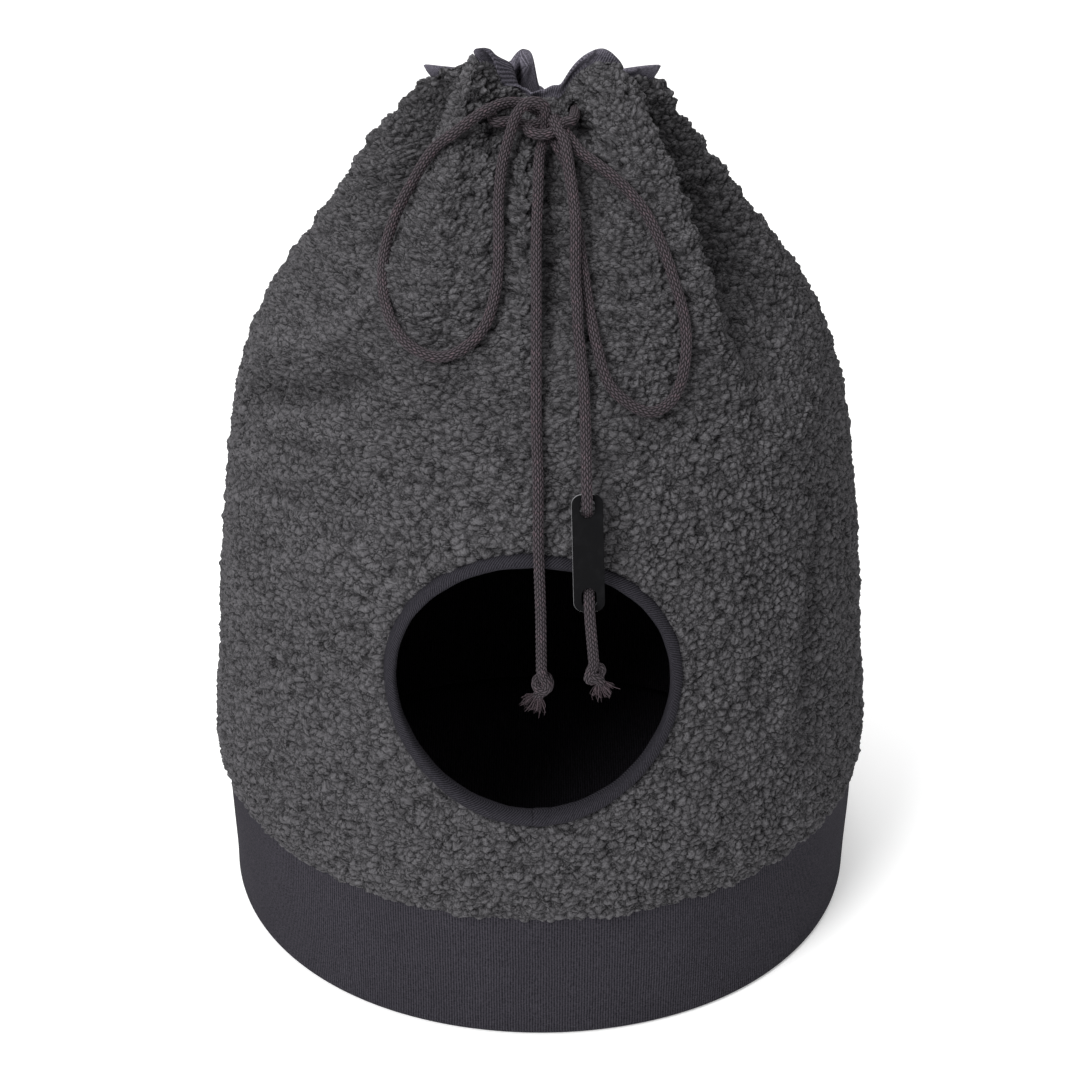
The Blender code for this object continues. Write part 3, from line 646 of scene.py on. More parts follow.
def tag_mesh():
    """The strip, flat: a filled outline with two slots, a thickness and a soft bevel."""
    outline = bpy.data.curves.new("tag_outline", "CURVE")
    outline.dimensions = "2D"
    outline.fill_mode = "BOTH"
    outline.extrude = TAG_THICKNESS / 2 - TAG_BEVEL
    outline.bevel_depth = TAG_BEVEL
    outline.bevel_resolution = 2
    outline.offset = -TAG_BEVEL
    slot_y = TAG_LENGTH / 2 - TAG_SLOT_FROM_END
    shapes = [rounded_outline(TAG_WIDTH / 2, TAG_LENGTH / 2, TAG_CORNER)]
    for centre_y in (slot_y, -slot_y):
        shapes.append(rounded_outline(TAG_SLOT_WIDTH / 2, TAG_SLOT_LENGTH / 2, TAG_SLOT_WIDTH / 2, centre_y))
    for shape in shapes:
        spline = outline.splines.new("POLY")
        spline.points.add(len(shape) - 1)
        for target, (x, y) in zip(spline.points, shape):
            target.co = (x, y, 0.0, 1.0)
        spline.use_cyclic_u = True
    source = bpy.data.objects.new("tag_outline", outline)
    scene.collection.objects.link(source)
    bpy.context.view_layer.update()
    data = bpy.data.meshes.new_from_object(source)
    bpy.data.objects.remove(source)
    data.name = "cord_tag_strip"
    return data


def make_tag():
    data = tag_mesh()
    up = Vector(TAG_UP).normalized()
    face = Vector((1, 0, 0)).cross(up).normalized()
    across = up.cross(face)
    turn = Matrix((across, up, face)).transposed().to_4x4()
    data.materials.clear()
    data.materials.append(make_tag_finish())
    data.materials.append(make_tag_lit_edge_finish())
    for polygon in data.polygons:
        on_outline = (abs(polygon.center.x) > TAG_WIDTH / 2 - TAG_THICKNESS
                      or abs(polygon.center.y) > TAG_LENGTH / 2 - TAG_CORNER)
        # painted highlight: only cut edges that do not face right, towards the key light at the left, get
        # the pale edge finish
        is_lit_pale_edge = on_outline and abs(polygon.normal.z) < 0.8 and polygon.normal.x < 0.2
        polygon.material_index = 1 if is_lit_pale_edge else 0
        polygon.use_smooth = False
    data.transform(Matrix.Translation(TAG_CENTRE) @ turn)
    return ride_as_piece(data, ["cord_tag"])


tag = make_tag()

# %% [markdown]

# %% [markdown]
# ## The gathered wall
#
# The wall is one length of curly pile cloth, gathered at the top by the drawstring. Its large shape is a
# stack of level rings. A table gives each level's reach to the side, front and back, and another gives
# the folds that the drawstring makes. These are the tables that the solids were made from, read here at a
# much finer step, and a few of the rim's folds are set closer to what the photograph shows.

# %% The wall's tables
BAND_HEIGHT = 0.0885
RIM_HEIGHT = 0.548
WALL_THICKNESS = 0.007
RIM_THICKNESS = 0.0045
SHOULDER_HEIGHT = 0.455
FOLD_DEEPENING = 0.6
RIM_RISE_START = 0.500
SECTIONS = np.array([
    # height, side, front, back, lean
    (BAND_HEIGHT, 0.2040, 0.2040, 0.2040, 0.00),
    (0.096, 0.2064, 0.2064, 0.2064, 0.00),
    (0.110, 0.2076, 0.2076, 0.2076, 0.00),
    (0.130, 0.2068, 0.2068, 0.2068, 0.00),
    (0.160, 0.2035, 0.2035, 0.2035, 0.00),
    (0.220, 0.1992, 0.1992, 0.1992, 0.00),
    (0.280, 0.1930, 0.1930, 0.1930, 0.00),
    (0.340, 0.1843, 0.1843, 0.1838, 0.00),
    (0.380, 0.1720, 0.1718, 0.1712, 0.01),
    (0.420, 0.1500, 0.1480, 0.1475, 0.03),
    (0.460, 0.1200, 0.1150, 0.1140, 0.08),
    (0.500, 0.0930, 0.0800, 0.0800, 0.16),
    (0.520, 0.0795, 0.0620, 0.0620, 0.21),
    (RIM_HEIGHT, 0.0640, 0.0400, 0.0420, 0.25),
])
FOLDS = np.array([
    # azimuth at rim, at shoulder, at foot, out at rim, at shoulder, low end, rim rise, facing stands
    (-178, -176, -174, 0.009, 0.004, 0.40, -0.0115, 0.0095),
    (-157, -148, -144, -0.016, -0.012, 0.37, 0.0030, -0.0070),
    (-130, -119, -114, 0.011, 0.010, 0.38, 0.0045, 0.0080),
    (-121, -109, -105, 0.0000, 0.0030, 0.395, -0.0115, 0.0003),
    (-111, -99, -98, -0.012, -0.006, 0.41, -0.0165, 0.0035),
    (-99, -93, -93, -0.003, -0.001, 0.41, -0.0185, 0.0035),
    (-87, -87, -88, -0.010, -0.012, 0.40, -0.0195, 0.0055),
    (-72, -76, -80, -0.004, -0.004, 0.40, -0.0180, 0.0075),
    (-50, -60, -68, 0.011, 0.009, 0.39, 0.0050, 0.0075),
    (-33, -47, -52, 0.009, 0.010, 0.35, -0.0035, 0.0030),
    (-22, -35, -42, -0.020, -0.014, 0.37, -0.0060, -0.0060),
    (0, -8, -14, 0.011, 0.006, 0.40, -0.0120, 0.0095),
    (19, 14, 12, -0.018, -0.007, 0.40, -0.0130, 0.0030),
    (38, 38, 37, 0.009, 0.008, 0.38, -0.0160, 0.0040),
    (56, 59, 60, -0.018, -0.010, 0.39, -0.0260, 0.0030),
    (76, 79, 80, 0.004, 0.008, 0.40, -0.0280, 0.0030),
    (90, 96, 99, -0.012, -0.010, 0.41, -0.0230, 0.0040),
    (101, 114, 119, 0.006, 0.009, 0.38, -0.0055, 0.0075),
    (130, 137, 139, -0.008, -0.007, 0.40, -0.0120, 0.0030),
    (151, 154, 156, 0.009, 0.007, 0.39, -0.0130, 0.0040),
    (166, 169, 171, -0.015, -0.005, 0.41, -0.0120, 0.0030),
])


def smooth(value):
    """Ease from 0 to 1 with level ends."""
    value = np.clip(value, 0.0, 1.0)
    return value * value * (3.0 - 2.0 * value)


def between(low, high, share):
    return low + (high - low) * share


def section(height, column):
    """A column of the sections' table on a smooth curve through its rows."""
    keys = SECTIONS[:, 0]
    values = SECTIONS[:, column]
    low = np.maximum(np.arange(len(keys)) - 1, 0)
    high = np.minimum(np.arange(len(keys)) + 1, len(keys) - 1)
    slopes = (values[high] - values[low]) / (keys[high] - keys[low])
    height = np.clip(height, keys[0], keys[-1])
    i = np.clip(np.searchsorted(keys, height, side="right") - 1, 0, len(keys) - 2)
    span = keys[i + 1] - keys[i]
    u = (height - keys[i]) / span
    return (values[i] * (1 + 2 * u) * (1 - u) ** 2 + values[i + 1] * u * u * (3 - 2 * u)
            + span * (slopes[i] * u * (1 - u) ** 2 + slopes[i + 1] * u * u * (u - 1)))


def folds_at(positions):
    """The folds' columns at places round the den: whole numbers are the table's rows."""
    index = np.floor(positions).astype(int) % len(FOLDS)
    share = (positions - np.floor(positions))[:, None]
    here = FOLDS[index]
    after = FOLDS[(index + 1) % len(FOLDS)].copy()
    after[index == len(FOLDS) - 1, :3] += 360.0
    azimuths = between(here[:, :3], after[:, :3], share)
    return np.hstack([azimuths, between(here[:, 3:], after[:, 3:], smooth(share))])


# %% [markdown]
# Below the gathers the cloth is creased where it was handled. Each crease or soft ridge is a stroke down
# the wall, given by its depth, its width and the places it passes.

# %% Creases and soft ridges
STROKES = [
    # out or in, half width, then azimuth and height of each place
    (-0.0240, 0.0140, (-20, 0.570), (-24, 0.545), (-28, 0.523), (-31, 0.494), (-34, 0.475), (-37, 0.460),
     (-39, 0.435), (-39, 0.412), (-38, 0.375)),
    (-0.0150, 0.0220, (-6, 0.565), (-12, 0.510), (-19, 0.468), (-26, 0.439), (-31, 0.400)),
    (0.0100, 0.0120, (-36, 0.570), (-38, 0.545), (-42, 0.523), (-45, 0.494), (-48, 0.460), (-50, 0.435),
     (-48, 0.400)),
    (0.0060, 0.0150, (-26, 0.368), (-36, 0.366), (-46, 0.372)),
    (0.0080, 0.0085, (-128, 0.500), (-134, 0.433), (-145, 0.410), (-155, 0.399), (-172, 0.386)),
    (-0.0090, 0.0100, (-118, 0.420), (-133, 0.396), (-146, 0.380), (-157, 0.369), (-172, 0.352)),
    (-0.0110, 0.0090, (-179, 0.565), (-172, 0.542), (-165, 0.523), (-157, 0.494), (-151, 0.470),
     (-145, 0.451), (-140, 0.425)),
    (-0.0035, 0.0180, (-87, 0.560), (-87, 0.487), (-88, 0.462), (-89, 0.400)),
    (-0.0035, 0.0070, (-172, 0.322), (-158, 0.344), (-143, 0.356), (-127, 0.366)),
    (-0.0032, 0.0070, (-172, 0.296), (-155, 0.318), (-142, 0.329), (-126, 0.340)),
    (-0.0030, 0.0070, (-168, 0.272), (-150, 0.284), (-138, 0.300)),
    (0.0040, 0.0100, (-151, 0.310), (-148, 0.240), (-146, 0.160)),
    (-0.0050, 0.0110, (-24, 0.330), (-31, 0.290), (-36, 0.231), (-41, 0.135)),
    (0.0035, 0.0100, (-38, 0.300), (-42, 0.240), (-47, 0.150)),
    (-0.0130, 0.0044, (-117, 0.544), (-117, 0.528), (-117, 0.508)),
    (-0.0120, 0.0042, (-65, 0.544), (-65, 0.528), (-65, 0.508)),
]
STROKE_ENDS = 0.28


def stroke_relief(angle, height):
    """How far out or in the strokes press the wall, at points round one level."""
    relief = np.zeros_like(angle)
    reach = section(height, 1)
    for out, half_width, *places in STROKES:
        corners = np.array([(math.radians(azimuth) * reach, level) for azimuth, level in places])
        nearest = np.full_like(angle, np.inf)
        share = np.zeros_like(angle)
        turned = np.mod(angle - corners[:, 0].mean() / reach + math.pi, 2 * math.pi) - math.pi
        point = np.stack([turned * reach + corners[:, 0].mean(), np.full_like(angle, height)], axis=-1)
        for index, (start, end) in enumerate(zip(corners, corners[1:])):
            way = end - start
            along = np.clip((point - start) @ way / (way @ way), 0.0, 1.0)
            away = np.linalg.norm(point - start - along[:, None] * way, axis=1)
            share = np.where(away < nearest, (index + along) / (len(corners) - 1), share)
            nearest = np.minimum(nearest, away)
        ends = smooth(np.minimum(share, 1.0 - share) / STROKE_ENDS)
        relief += out * ends * np.exp(-(nearest / half_width) ** 2)
    return relief


# %% [markdown]
# One level of the wall is a ring: an ellipse on the sections' reach, with the folds and strokes added. The
# inside of a fold can't simply be set back along its normals, because a tight fold would cross itself.
# So each point stays the inset away from the whole outer ring.

# %% A ring of the wall
def level_ring(positions, height):
    """Azimuth, radius, rim rise and the facing's stand at each place of one level."""
    rim_az, shoulder_az, foot_az, rim_out, shoulder_out, low_end, rim_rise, stands = folds_at(positions).T
    if height < SHOULDER_HEIGHT:
        share = smooth((height - BAND_HEIGHT) / (SHOULDER_HEIGHT - BAND_HEIGHT))
        azimuth = between(foot_az, shoulder_az, share)
        out = shoulder_out * smooth((height - low_end) / (SHOULDER_HEIGHT - low_end))
    else:
        share = (height - SHOULDER_HEIGHT) / (RIM_HEIGHT - SHOULDER_HEIGHT)
        azimuth = between(shoulder_az, rim_az, share)
        out = between(shoulder_out, rim_out, share ** FOLD_DEEPENING)
    angle = np.radians(azimuth)
    depth = np.where(np.sin(angle) < 0, section(height, 2), section(height, 3))
    radius = 1.0 / np.hypot(np.cos(angle) / section(height, 1), np.sin(angle) / depth) + out
    radius = radius + stroke_relief(angle, height)
    rise = rim_rise * smooth((height - RIM_RISE_START) / (RIM_HEIGHT - RIM_RISE_START))
    return angle, radius, rise, stands


def inset_radius(angle, radius, inset):
    """How far out each point may be and still keep the inset from the whole outer face."""
    turn = angle[None, :] - angle[:, None]
    along = radius[None, :] * np.cos(turn)
    across = radius[None, :] * np.sin(turn)
    near = (along > 0) & (np.abs(across) < inset)
    reach = np.where(near, along - np.sqrt(np.maximum(0.0, inset * inset - across * across)), np.inf)
    return reach.min(axis=1)


def wall_ring(positions, height, inset=0.0, facing_share=0.0, lift=0.0):
    """The points of one level of the wall, on its outer face or a way inside it."""
    angle, radius, rise, stands = level_ring(positions, height)
    if inset:
        radius = np.minimum(radius - inset, inset_radius(angle, radius, inset))
    x = radius * np.cos(angle)
    y = radius * np.sin(angle)
    z = height - section(height, 4) * y + rise + stands * facing_share + lift
    return np.stack([x, y, z], axis=-1)


def thickness_at(height):
    share = smooth((height - RIM_RISE_START) / (RIM_HEIGHT - RIM_RISE_START))
    return between(WALL_THICKNESS, RIM_THICKNESS, share)


# %% [markdown]
# The columns of points that the cloth is skinned on have to be about evenly apart at the waist, where the
# cloth is flat, and near the rim, where it doubles its way round in folds. A blend of both lengths settles
# where they stand. The first column is where two of the wall's meshes meet, well away from the entrance.

# %% Even places round the den
WAIST_HEIGHT = 0.30
GATHERED_HEIGHT = 0.52
WAIST_SHARE = 0.62
FINE_PLACES = 4000
FIRST_AZIMUTH = -135.0


def ring_lengths(ring):
    """The way round a closed ring, from its first point to each point and back to the first."""
    return running_total(np.linalg.norm(np.roll(ring, -1, axis=0) - ring, axis=1))


def even_positions(count):
    """Places round the den whose columns stand about evenly apart."""
    fine = np.linspace(0.0, len(FOLDS), FINE_PLACES, endpoint=False)
    waist = ring_lengths(wall_ring(fine, WAIST_HEIGHT))
    top = ring_lengths(wall_ring(fine, GATHERED_HEIGHT))
    spread = WAIST_SHARE * waist / waist[-1] + (1.0 - WAIST_SHARE) * top / top[-1]
    start = np.interp(FIRST_AZIMUTH, folds_at(fine)[:, 2], spread[:-1])
    wanted = np.mod(start + np.arange(count) / count, 1.0)
    return np.interp(wanted, spread, np.append(fine, len(FOLDS)))


waist_round = ring_lengths(wall_ring(even_positions(400), WAIST_HEIGHT))[-1]
print("ring at the waist:", round(float(waist_round), 3), "m round")

# %% [markdown]
# The pile cloth is skinned on a grid of about 1.4 mm. Its foot is rolled under where the pile edge hangs
# over the band, and its top is rolled in where it is turned over at the mouth.

# %% The pile's smooth grid
WALL_COLUMNS = 880
WALL_STEP = 0.00145
HEM_HEIGHT = 0.0950
HEM_DROP = 0.0068
HEM_INSET = 0.0040
HEM_ROWS = 7
ROLL_ROWS = 5
ROLL_TURN = 115
ROLL_INSET = 0.0042
ROLL_LIFT = 0.0012
ROLL_LIFT_TURNS = 1.4


def level_heights():
    """Heights about one step apart up the wall's face."""
    fine = np.linspace(HEM_HEIGHT, RIM_HEIGHT, 2000)
    travelled = running_total(np.hypot(np.diff(section(fine, 2)), np.diff(fine)))
    count = int(round(travelled[-1] / WALL_STEP))
    return np.interp(np.linspace(0.0, travelled[-1], count + 1), travelled, fine)


def wall_grid(positions):
    """The rolled foot, the levels of the wall and the rolled top, row by row."""
    rows = []
    for step in range(HEM_ROWS):
        turn = math.radians(90 * (1 - step / HEM_ROWS))
        ring = wall_ring(positions, HEM_HEIGHT)
        inset = HEM_INSET * (1 - math.cos(turn))
        ring[:, :2] *= (1 - inset / np.linalg.norm(ring[:, :2], axis=1))[:, None]
        ring[:, 2] -= HEM_DROP * math.sin(turn)
        rows.append(ring)
    rows += [wall_ring(positions, height) for height in level_heights()]
    for step in range(1, ROLL_ROWS + 1):
        turn = math.radians(ROLL_TURN * step / ROLL_ROWS)
        inset = ROLL_INSET * (1 - math.cos(turn)) / (1 - math.cos(math.radians(ROLL_TURN)))
        lift = ROLL_LIFT * math.sin(turn * ROLL_LIFT_TURNS)
        rows.append(wall_ring(positions, RIM_HEIGHT, inset, lift=lift))
    return np.array(rows)


def outward(grid):
    """Unit directions square to the surface of a grid that is closed round, pointing out of it."""
    round_it = (np.roll(grid, -1, axis=1) - np.roll(grid, 1, axis=1)) / 2
    return unit(np.cross(round_it, np.gradient(grid, axis=0)))


positions = even_positions(WALL_COLUMNS)
smooth_grid = wall_grid(positions)
smooth_normals = outward(smooth_grid)
print("pile grid:", smooth_grid.shape[0], "rows of", smooth_grid.shape[1])

# %% [markdown]
# Two things about each point are kept for the pile that stands on it. One is how far the strokes press it
# in, which the pile's finish turns into painted shade in the creases. The other is the place at which its
# tufts are looked up: the places are drawn together towards the top, so the tufts stand a little closer
# there.

# %% Where the tufts are looked up
TOP_CROWDING = 0.22
CROWDING_FROM = 0.34
CROWDING_RISE = 0.20
CROWDING_UPRIGHT = 1.12

heights = [*[HEM_HEIGHT] * HEM_ROWS, *level_heights(), *[RIM_HEIGHT] * ROLL_ROWS]
pressed_in_shade = np.array([-stroke_relief(level_ring(positions, height)[0], height) for height in heights])
crowding = 1.0 + TOP_CROWDING * smooth((smooth_grid[..., 2:] - CROWDING_FROM) / CROWDING_RISE)
cloth_grid = smooth_grid * crowding * (1.0, 1.0, CROWDING_UPRIGHT)
print("pressed in by up to", round(1000 * float(pressed_in_shade.max()), 1), "mm")

# %% [markdown]
# Curly pile is a carpet of small rounded tufts, 5 to 8 mm across, a bit wider than high, with thin dark
# creases between them. Cells round scattered points have just that form. The same few nodes are used
# twice: once to measure how deep each point of the grid lies in its tuft, which raises the mesh, and again
# in the pile's material, which paints shade into the creases and a highlight on each tuft's middle far finer
# than the mesh could. Both start from the place that a point has on the smooth cloth, so relief and colour
# stay together.

# %% The tufts, as nodes
TUFT_SIZE = 0.0056
TUFT_FLATNESS = 1.2
TUFT_DISORDER = 0.92
TUFT_BENDS = 0.0090
TUFT_BEND_SIZE = 0.012
TUFT_FRAYS = 0.0040
TUFT_FRAY_SIZE = 0.0024
CLUMP_SIZE = 0.0120


def tuft_cells(maker, place):
    """How far a place is from its tuft's crease, how far from its middle, and the tuft's own colour."""
    bent = place + (maker.noise(place, TUFT_BEND_SIZE, 1.0, 1) - 0.5) * TUFT_BENDS
    frayed = bent + (maker.noise(place, TUFT_FRAY_SIZE, 2.0, 1) - 0.5) * TUFT_FRAYS
    wide = frayed * (1.0, 1.0, TUFT_FLATNESS)
    sockets = {"Vector": wide, "Scale": 1.0 / TUFT_SIZE, "Randomness": TUFT_DISORDER}
    inside = maker.node("TexVoronoi", {"feature": "DISTANCE_TO_EDGE"}, sockets)
    middle = maker.node("TexVoronoi", {"feature": "F1"}, sockets)
    return inside, middle, middle.beside(1)


# %% [markdown]
# A material can't move the mesh in a way that an export keeps, and the noise of the nodes is not one that
# Python can repeat. So the nodes are run once as geometry nodes on bare points, and the answer is read.

# %% The tufts, measured on the grid
def measured_tufts(points):
    """Run the tufts' nodes on bare points, and read what they say at each point."""
    tree = bpy.data.node_groups.new("measure_tufts", "GeometryNodeTree")
    tree.interface.new_socket("Geometry", in_out="INPUT", socket_type="NodeSocketGeometry")
    tree.interface.new_socket("Geometry", in_out="OUTPUT", socket_type="NodeSocketGeometry")
    maker = Maker(tree)
    shape = maker.node("NodeGroupInput", {}, {})
    inside, middle, own = tuft_cells(maker, maker.node("GeometryNodeInputPosition", {}, {}))
    clump = maker.noise(maker.node("GeometryNodeInputPosition", {}, {}), CLUMP_SIZE, 1.0)
    answer = maker.node("CombineXYZ", {}, {0: inside, 1: middle, 2: clump})
    shape = maker.node("GeometryNodeStoreNamedAttribute", {"data_type": "FLOAT_VECTOR"},
                       {"Geometry": shape, "Name": "tuft", "Value": answer})
    maker.node("NodeGroupOutput", {}, {0: shape})
    data = bpy.data.meshes.new("tuft_points")
    data.from_pydata(points.tolist(), [], [])
    carrier = bpy.data.objects.new("tuft_points", data)
    scene.collection.objects.link(carrier)
    carrier.modifiers.new("measure", "NODES").node_group = tree
    measured = carrier.evaluated_get(bpy.context.evaluated_depsgraph_get()).data
    answers = np.zeros(len(points) * 3, np.float32)
    measured.attributes["tuft"].data.foreach_get("vector", answers)
    bpy.data.objects.remove(carrier)
    bpy.data.meshes.remove(data)
    return answers.astype(float).reshape(-1, 3).T


tuft_inside, tuft_middle, tuft_clump = (answer.reshape(smooth_grid.shape[:2])
                                      for answer in measured_tufts(cloth_grid.reshape(-1, 3)))
for label, answer in (("from a crease", tuft_inside), ("from a middle", tuft_middle)):
    print(label, np.percentile(answer, (1, 50, 99)).round(3), "tuft sizes")

# %% [markdown]
# The entrance is a round hole in the front. Near it the pile dips to pass under the tape that binds the
# edge, and inside it the faces are left out.

# %% Raise the pile and cut the entrance
ENTRANCE_X = -0.004
ENTRANCE_Z = 0.243
ENTRANCE_RADIUS = 0.0785
TAPE_WIDTH = 0.0074
TAPE_DEPTH = 0.0125
PILE_CUT = ENTRANCE_RADIUS + 0.0042
TUCK_WIDTH = 0.0060
TUCK_DEPTH = 0.0035
PILE_PROUD = 0.0011
TUFT_DEPTH = 0.0042
TUFT_ROUNDING = 0.34
TUFT_REACH = 0.95
EDGE_SHARE = 0.35
DOME_SHARE = 0.65
CLUMP_LOW = 0.006
CLUMP_HIGH = 0.011
CLUMPS_FROM = 0.30
CLUMPS_RISE = 0.20
ROLLED_ROWS = 3
ROLLED_LIFT = 0.4


def entrance_distance(points):
    """Distance from the entrance's middle seen from the front, and a huge one at the back."""
    away = np.hypot(points[..., 0] - ENTRANCE_X, points[..., 2] - ENTRANCE_Z)
    return np.where(points[..., 1] < 0, away, 1.0)


def raised_pile():
    """The smooth grid, raised by its tufts and clumps and tucked in round the entrance."""
    edge = 1.0 - (1.0 - np.minimum(1.0, tuft_inside / TUFT_ROUNDING)) ** 2
    dome = np.sqrt(np.maximum(0.0, 1.0 - (tuft_middle / TUFT_REACH) ** 2))
    height = EDGE_SHARE * edge + DOME_SHARE * dome
    tucked = 1.0 - smooth((entrance_distance(smooth_grid) - PILE_CUT) / TUCK_WIDTH)
    loose = smooth((smooth_grid[..., 2] - CLUMPS_FROM) / CLUMPS_RISE)
    clumps = (tuft_clump - 0.5) * between(CLUMP_LOW, CLUMP_HIGH, loose)
    lift = PILE_PROUD - TUFT_DEPTH * (1.0 - height) - TUCK_DEPTH * tucked + clumps * (1.0 - tucked)
    lift[-ROLLED_ROWS:] *= ROLLED_LIFT
    return smooth_grid + smooth_normals * lift[..., None]


def around_entrance(grid, faces, cut):
    """The points that are still used when the faces inside the entrance go, and the faces that stay."""
    inside = (entrance_distance(grid).ravel() < cut)[faces].any(axis=1)
    used, renumbered = np.unique(faces[~inside], return_inverse=True)
    return used, renumbered.reshape(-1, 4).tolist()


pile_grid = raised_pile()
pile_normals = outward(pile_grid)

# %% [markdown]
# The pile is a dark neutral grey. Each tuft is painted lighter towards its middle as a painted highlight and
# almost black in its creases as painted shade; neighbouring tufts differ a little, and the fibres of each
# lie in its own direction, which shows as fine streaks.

# %% The pile's finish
# near-black painted shade for the creases, the tufts' own grey, and the painted highlight on their middles
PILE_CREASE_SHADE = (0.004, 0.004, 0.0043)
PILE_BODY = (0.0445, 0.0432, 0.0460)
PILE_TIP_HIGHLIGHT = (0.124, 0.1205, 0.128)
# painted shade: how strongly the pressed-in strokes darken the pile
PRESSED_SHADE_STRENGTH = 24.0
FIBRE_SIZE = 0.00095


def make_pile_finish():
    """Painted shade in the creases, fibres that lie one way in each tuft, and painted highlights on the
    tips.
    """
    pile = Finish("curly_pile", 1.0, Specular_IOR_Level=0.08)
    place = pile.stored("cloth_place", "Vector")
    inside, middle, own = tuft_cells(pile, place)
    lies = (own - 0.5).direction()
    along = place + lies.times(place.dot(lies) * -0.66)
    fibres = pile.noise(along, FIBRE_SIZE, 3.0)
    patchy = pile.noise(place, 0.007, 2.0).ramp(0.36, 0.64)
    # painted shade: the colour falls to near black towards the creases between tufts
    crease = 1.0 - (1.0 - (inside + (fibres - 0.5) * 0.26).ramp(-0.06, 0.19)) * (0.42 + patchy * 0.50)
    tone = own.dot((0.0, 1.0, 0.0))
    # painted highlight: lighter towards each tuft's middle, with fibre streaks and each tuft's own tone
    tip_highlight = (0.80 - middle * 0.62 + (fibres - 0.5) * 2.3 + (tone - 0.5) * 0.34).clamp()
    colour = crease.between(PILE_CREASE_SHADE, tip_highlight.between(PILE_BODY, PILE_TIP_HIGHLIGHT))
    # painted shade: the pile is darkened where the strokes press it in
    pressed = (pile.stored("pressed_in_shade") * PRESSED_SHADE_STRENGTH).clamp()
    colour = colour * (0.86 + pile.noise(place, 0.045) * 0.28) * (1.0 - pressed)
    height = inside.ramp(0.0, 0.30) * 0.30 - middle * 0.50 + fibres * 0.95
    return pile.use(colour, height, 0.0016)


pile_finish = make_pile_finish()

# %% [markdown]
# The one length of cloth is split in four meshes that meet edge to edge on the same points, because one
# mesh of all the curls would be too large. The front one stands for the solid wall.

# %% The wall's panels
PANELS = ["front", "right", "back", "left"]


def make_wall_panels():
    panels = []
    share = WALL_COLUMNS // len(PANELS)
    for index, side in enumerate(PANELS):
        columns = np.arange(index * share, (index + 1) * share + 1) % WALL_COLUMNS
        flat = smooth_grid[:, columns]
        used, faces = around_entrance(flat, grid_faces(*flat.shape[:2], False), PILE_CUT)
        points, places, pressed, normals = (grid[:, columns].reshape(-1, *grid.shape[2:])[used]
                                            for grid in (pile_grid, cloth_grid, pressed_in_shade, pile_normals))
        piece = link_piece(f"pile_{side}", points, faces, pile_finish,
                           ["sherpa_wall"] if side == "front" else (),
                           {"cloth_place": places, "pressed_in_shade": pressed}, normals)
        flat_width = np.linalg.norm(np.diff(flat, axis=1), axis=2).sum(axis=1).max()
        flat_length = np.linalg.norm(np.diff(flat, axis=0), axis=2).sum(axis=0).mean()
        print(f"it is cut {flat_width:.3f} by {flat_length:.3f} m")
        panels.append(piece)
    return panels


wall_panels = make_wall_panels()

# %% [markdown]
# Behind the pile is the cloth's plain back, which shows in the den's dark inside. It is a coarser skin
# on the wall's inner face, with the same round hole.

# %% The wall's inner face
LINING_COLUMNS = 240
LINING_ROWS = 64
LINING_CUT = PILE_CUT - 0.001
LINING_DARK = (0.0045, 0.0045, 0.0048)
LINING_PALE = (0.009, 0.009, 0.0095)


def make_lining_finish():
    lining = Finish("den_lining", 0.95)
    knit = lining.noise(lining.place, 0.0022, 4.0)
    colour = knit.between(LINING_DARK, LINING_PALE) * (0.8 + lining.noise(lining.place, 0.05) * 0.4)
    return lining.use(colour, knit, 0.0008)


def make_lining():
    places = even_positions(LINING_COLUMNS)
    heights = np.linspace(BAND_HEIGHT, RIM_HEIGHT, LINING_ROWS)
    grid = np.array([wall_ring(places, height, thickness_at(height)) for height in heights])
    faces = grid_faces(LINING_ROWS, LINING_COLUMNS, True)[:, ::-1]
    used, faces = around_entrance(grid, faces, LINING_CUT)
    return link_piece("den_lining", grid.reshape(-1, 3)[used], faces, make_lining_finish())


lining = make_lining()

# %% [markdown]
# ## The canvas
#
# The base band, the floor and the facing inside the mouth are one dark canvas with fine upright ribs,
# though the facing's copy of it is painted several times lighter, as painted light on its upward face.
# The ribs are too fine to model, so they are waves in the colour and the bump, counted in metres round
# the den. That count is kept on the mesh.

# %% The canvas finish
RIB_SPACING = 0.00165
WEFT_SPACING = 0.00080
CANVAS_DARK = (0.010, 0.0095, 0.012)
CANVAS_MAIN = (0.054, 0.0505, 0.062)


def make_canvas_finish(name, painted_brightening=1.0):
    canvas = Finish(name, 0.95, Specular_IOR_Level=0.04)
    waver = (canvas.noise(canvas.place, 0.02) - 0.5) * 0.0011
    ribs = (canvas.stored("round_it") + waver).wave(RIB_SPACING)
    weft = (canvas.stored("up_it") + waver).wave(WEFT_SPACING)
    slub = canvas.noise(canvas.place * (1.0, 1.0, 1.5), 0.0013, 2.0)
    weave = (ribs * 0.62 + weft * 0.22 + slub * 1.5 - 0.70).clamp()
    colour = weave.between(CANVAS_DARK, CANVAS_MAIN)
    # a value above 1.0 lightens this copy of the canvas as painted light; 1.0 leaves it as it is
    faded = colour * (painted_brightening * (0.86 + canvas.noise(canvas.place, 0.05, 3.0) * 0.28))
    return canvas.use(faded, ribs * 0.6 + weft * 0.2 + slub * 0.4, 0.00035)


def woven(grid, round_it, up_it):
    """How far round and how far up the cloth each point of a grid is, for link_piece to keep."""
    return {"round_it": np.broadcast_to(round_it, grid.shape[:2]),
            "up_it": np.broadcast_to(up_it, grid.shape[:2])}


canvas_finish = make_canvas_finish("dark_canvas")

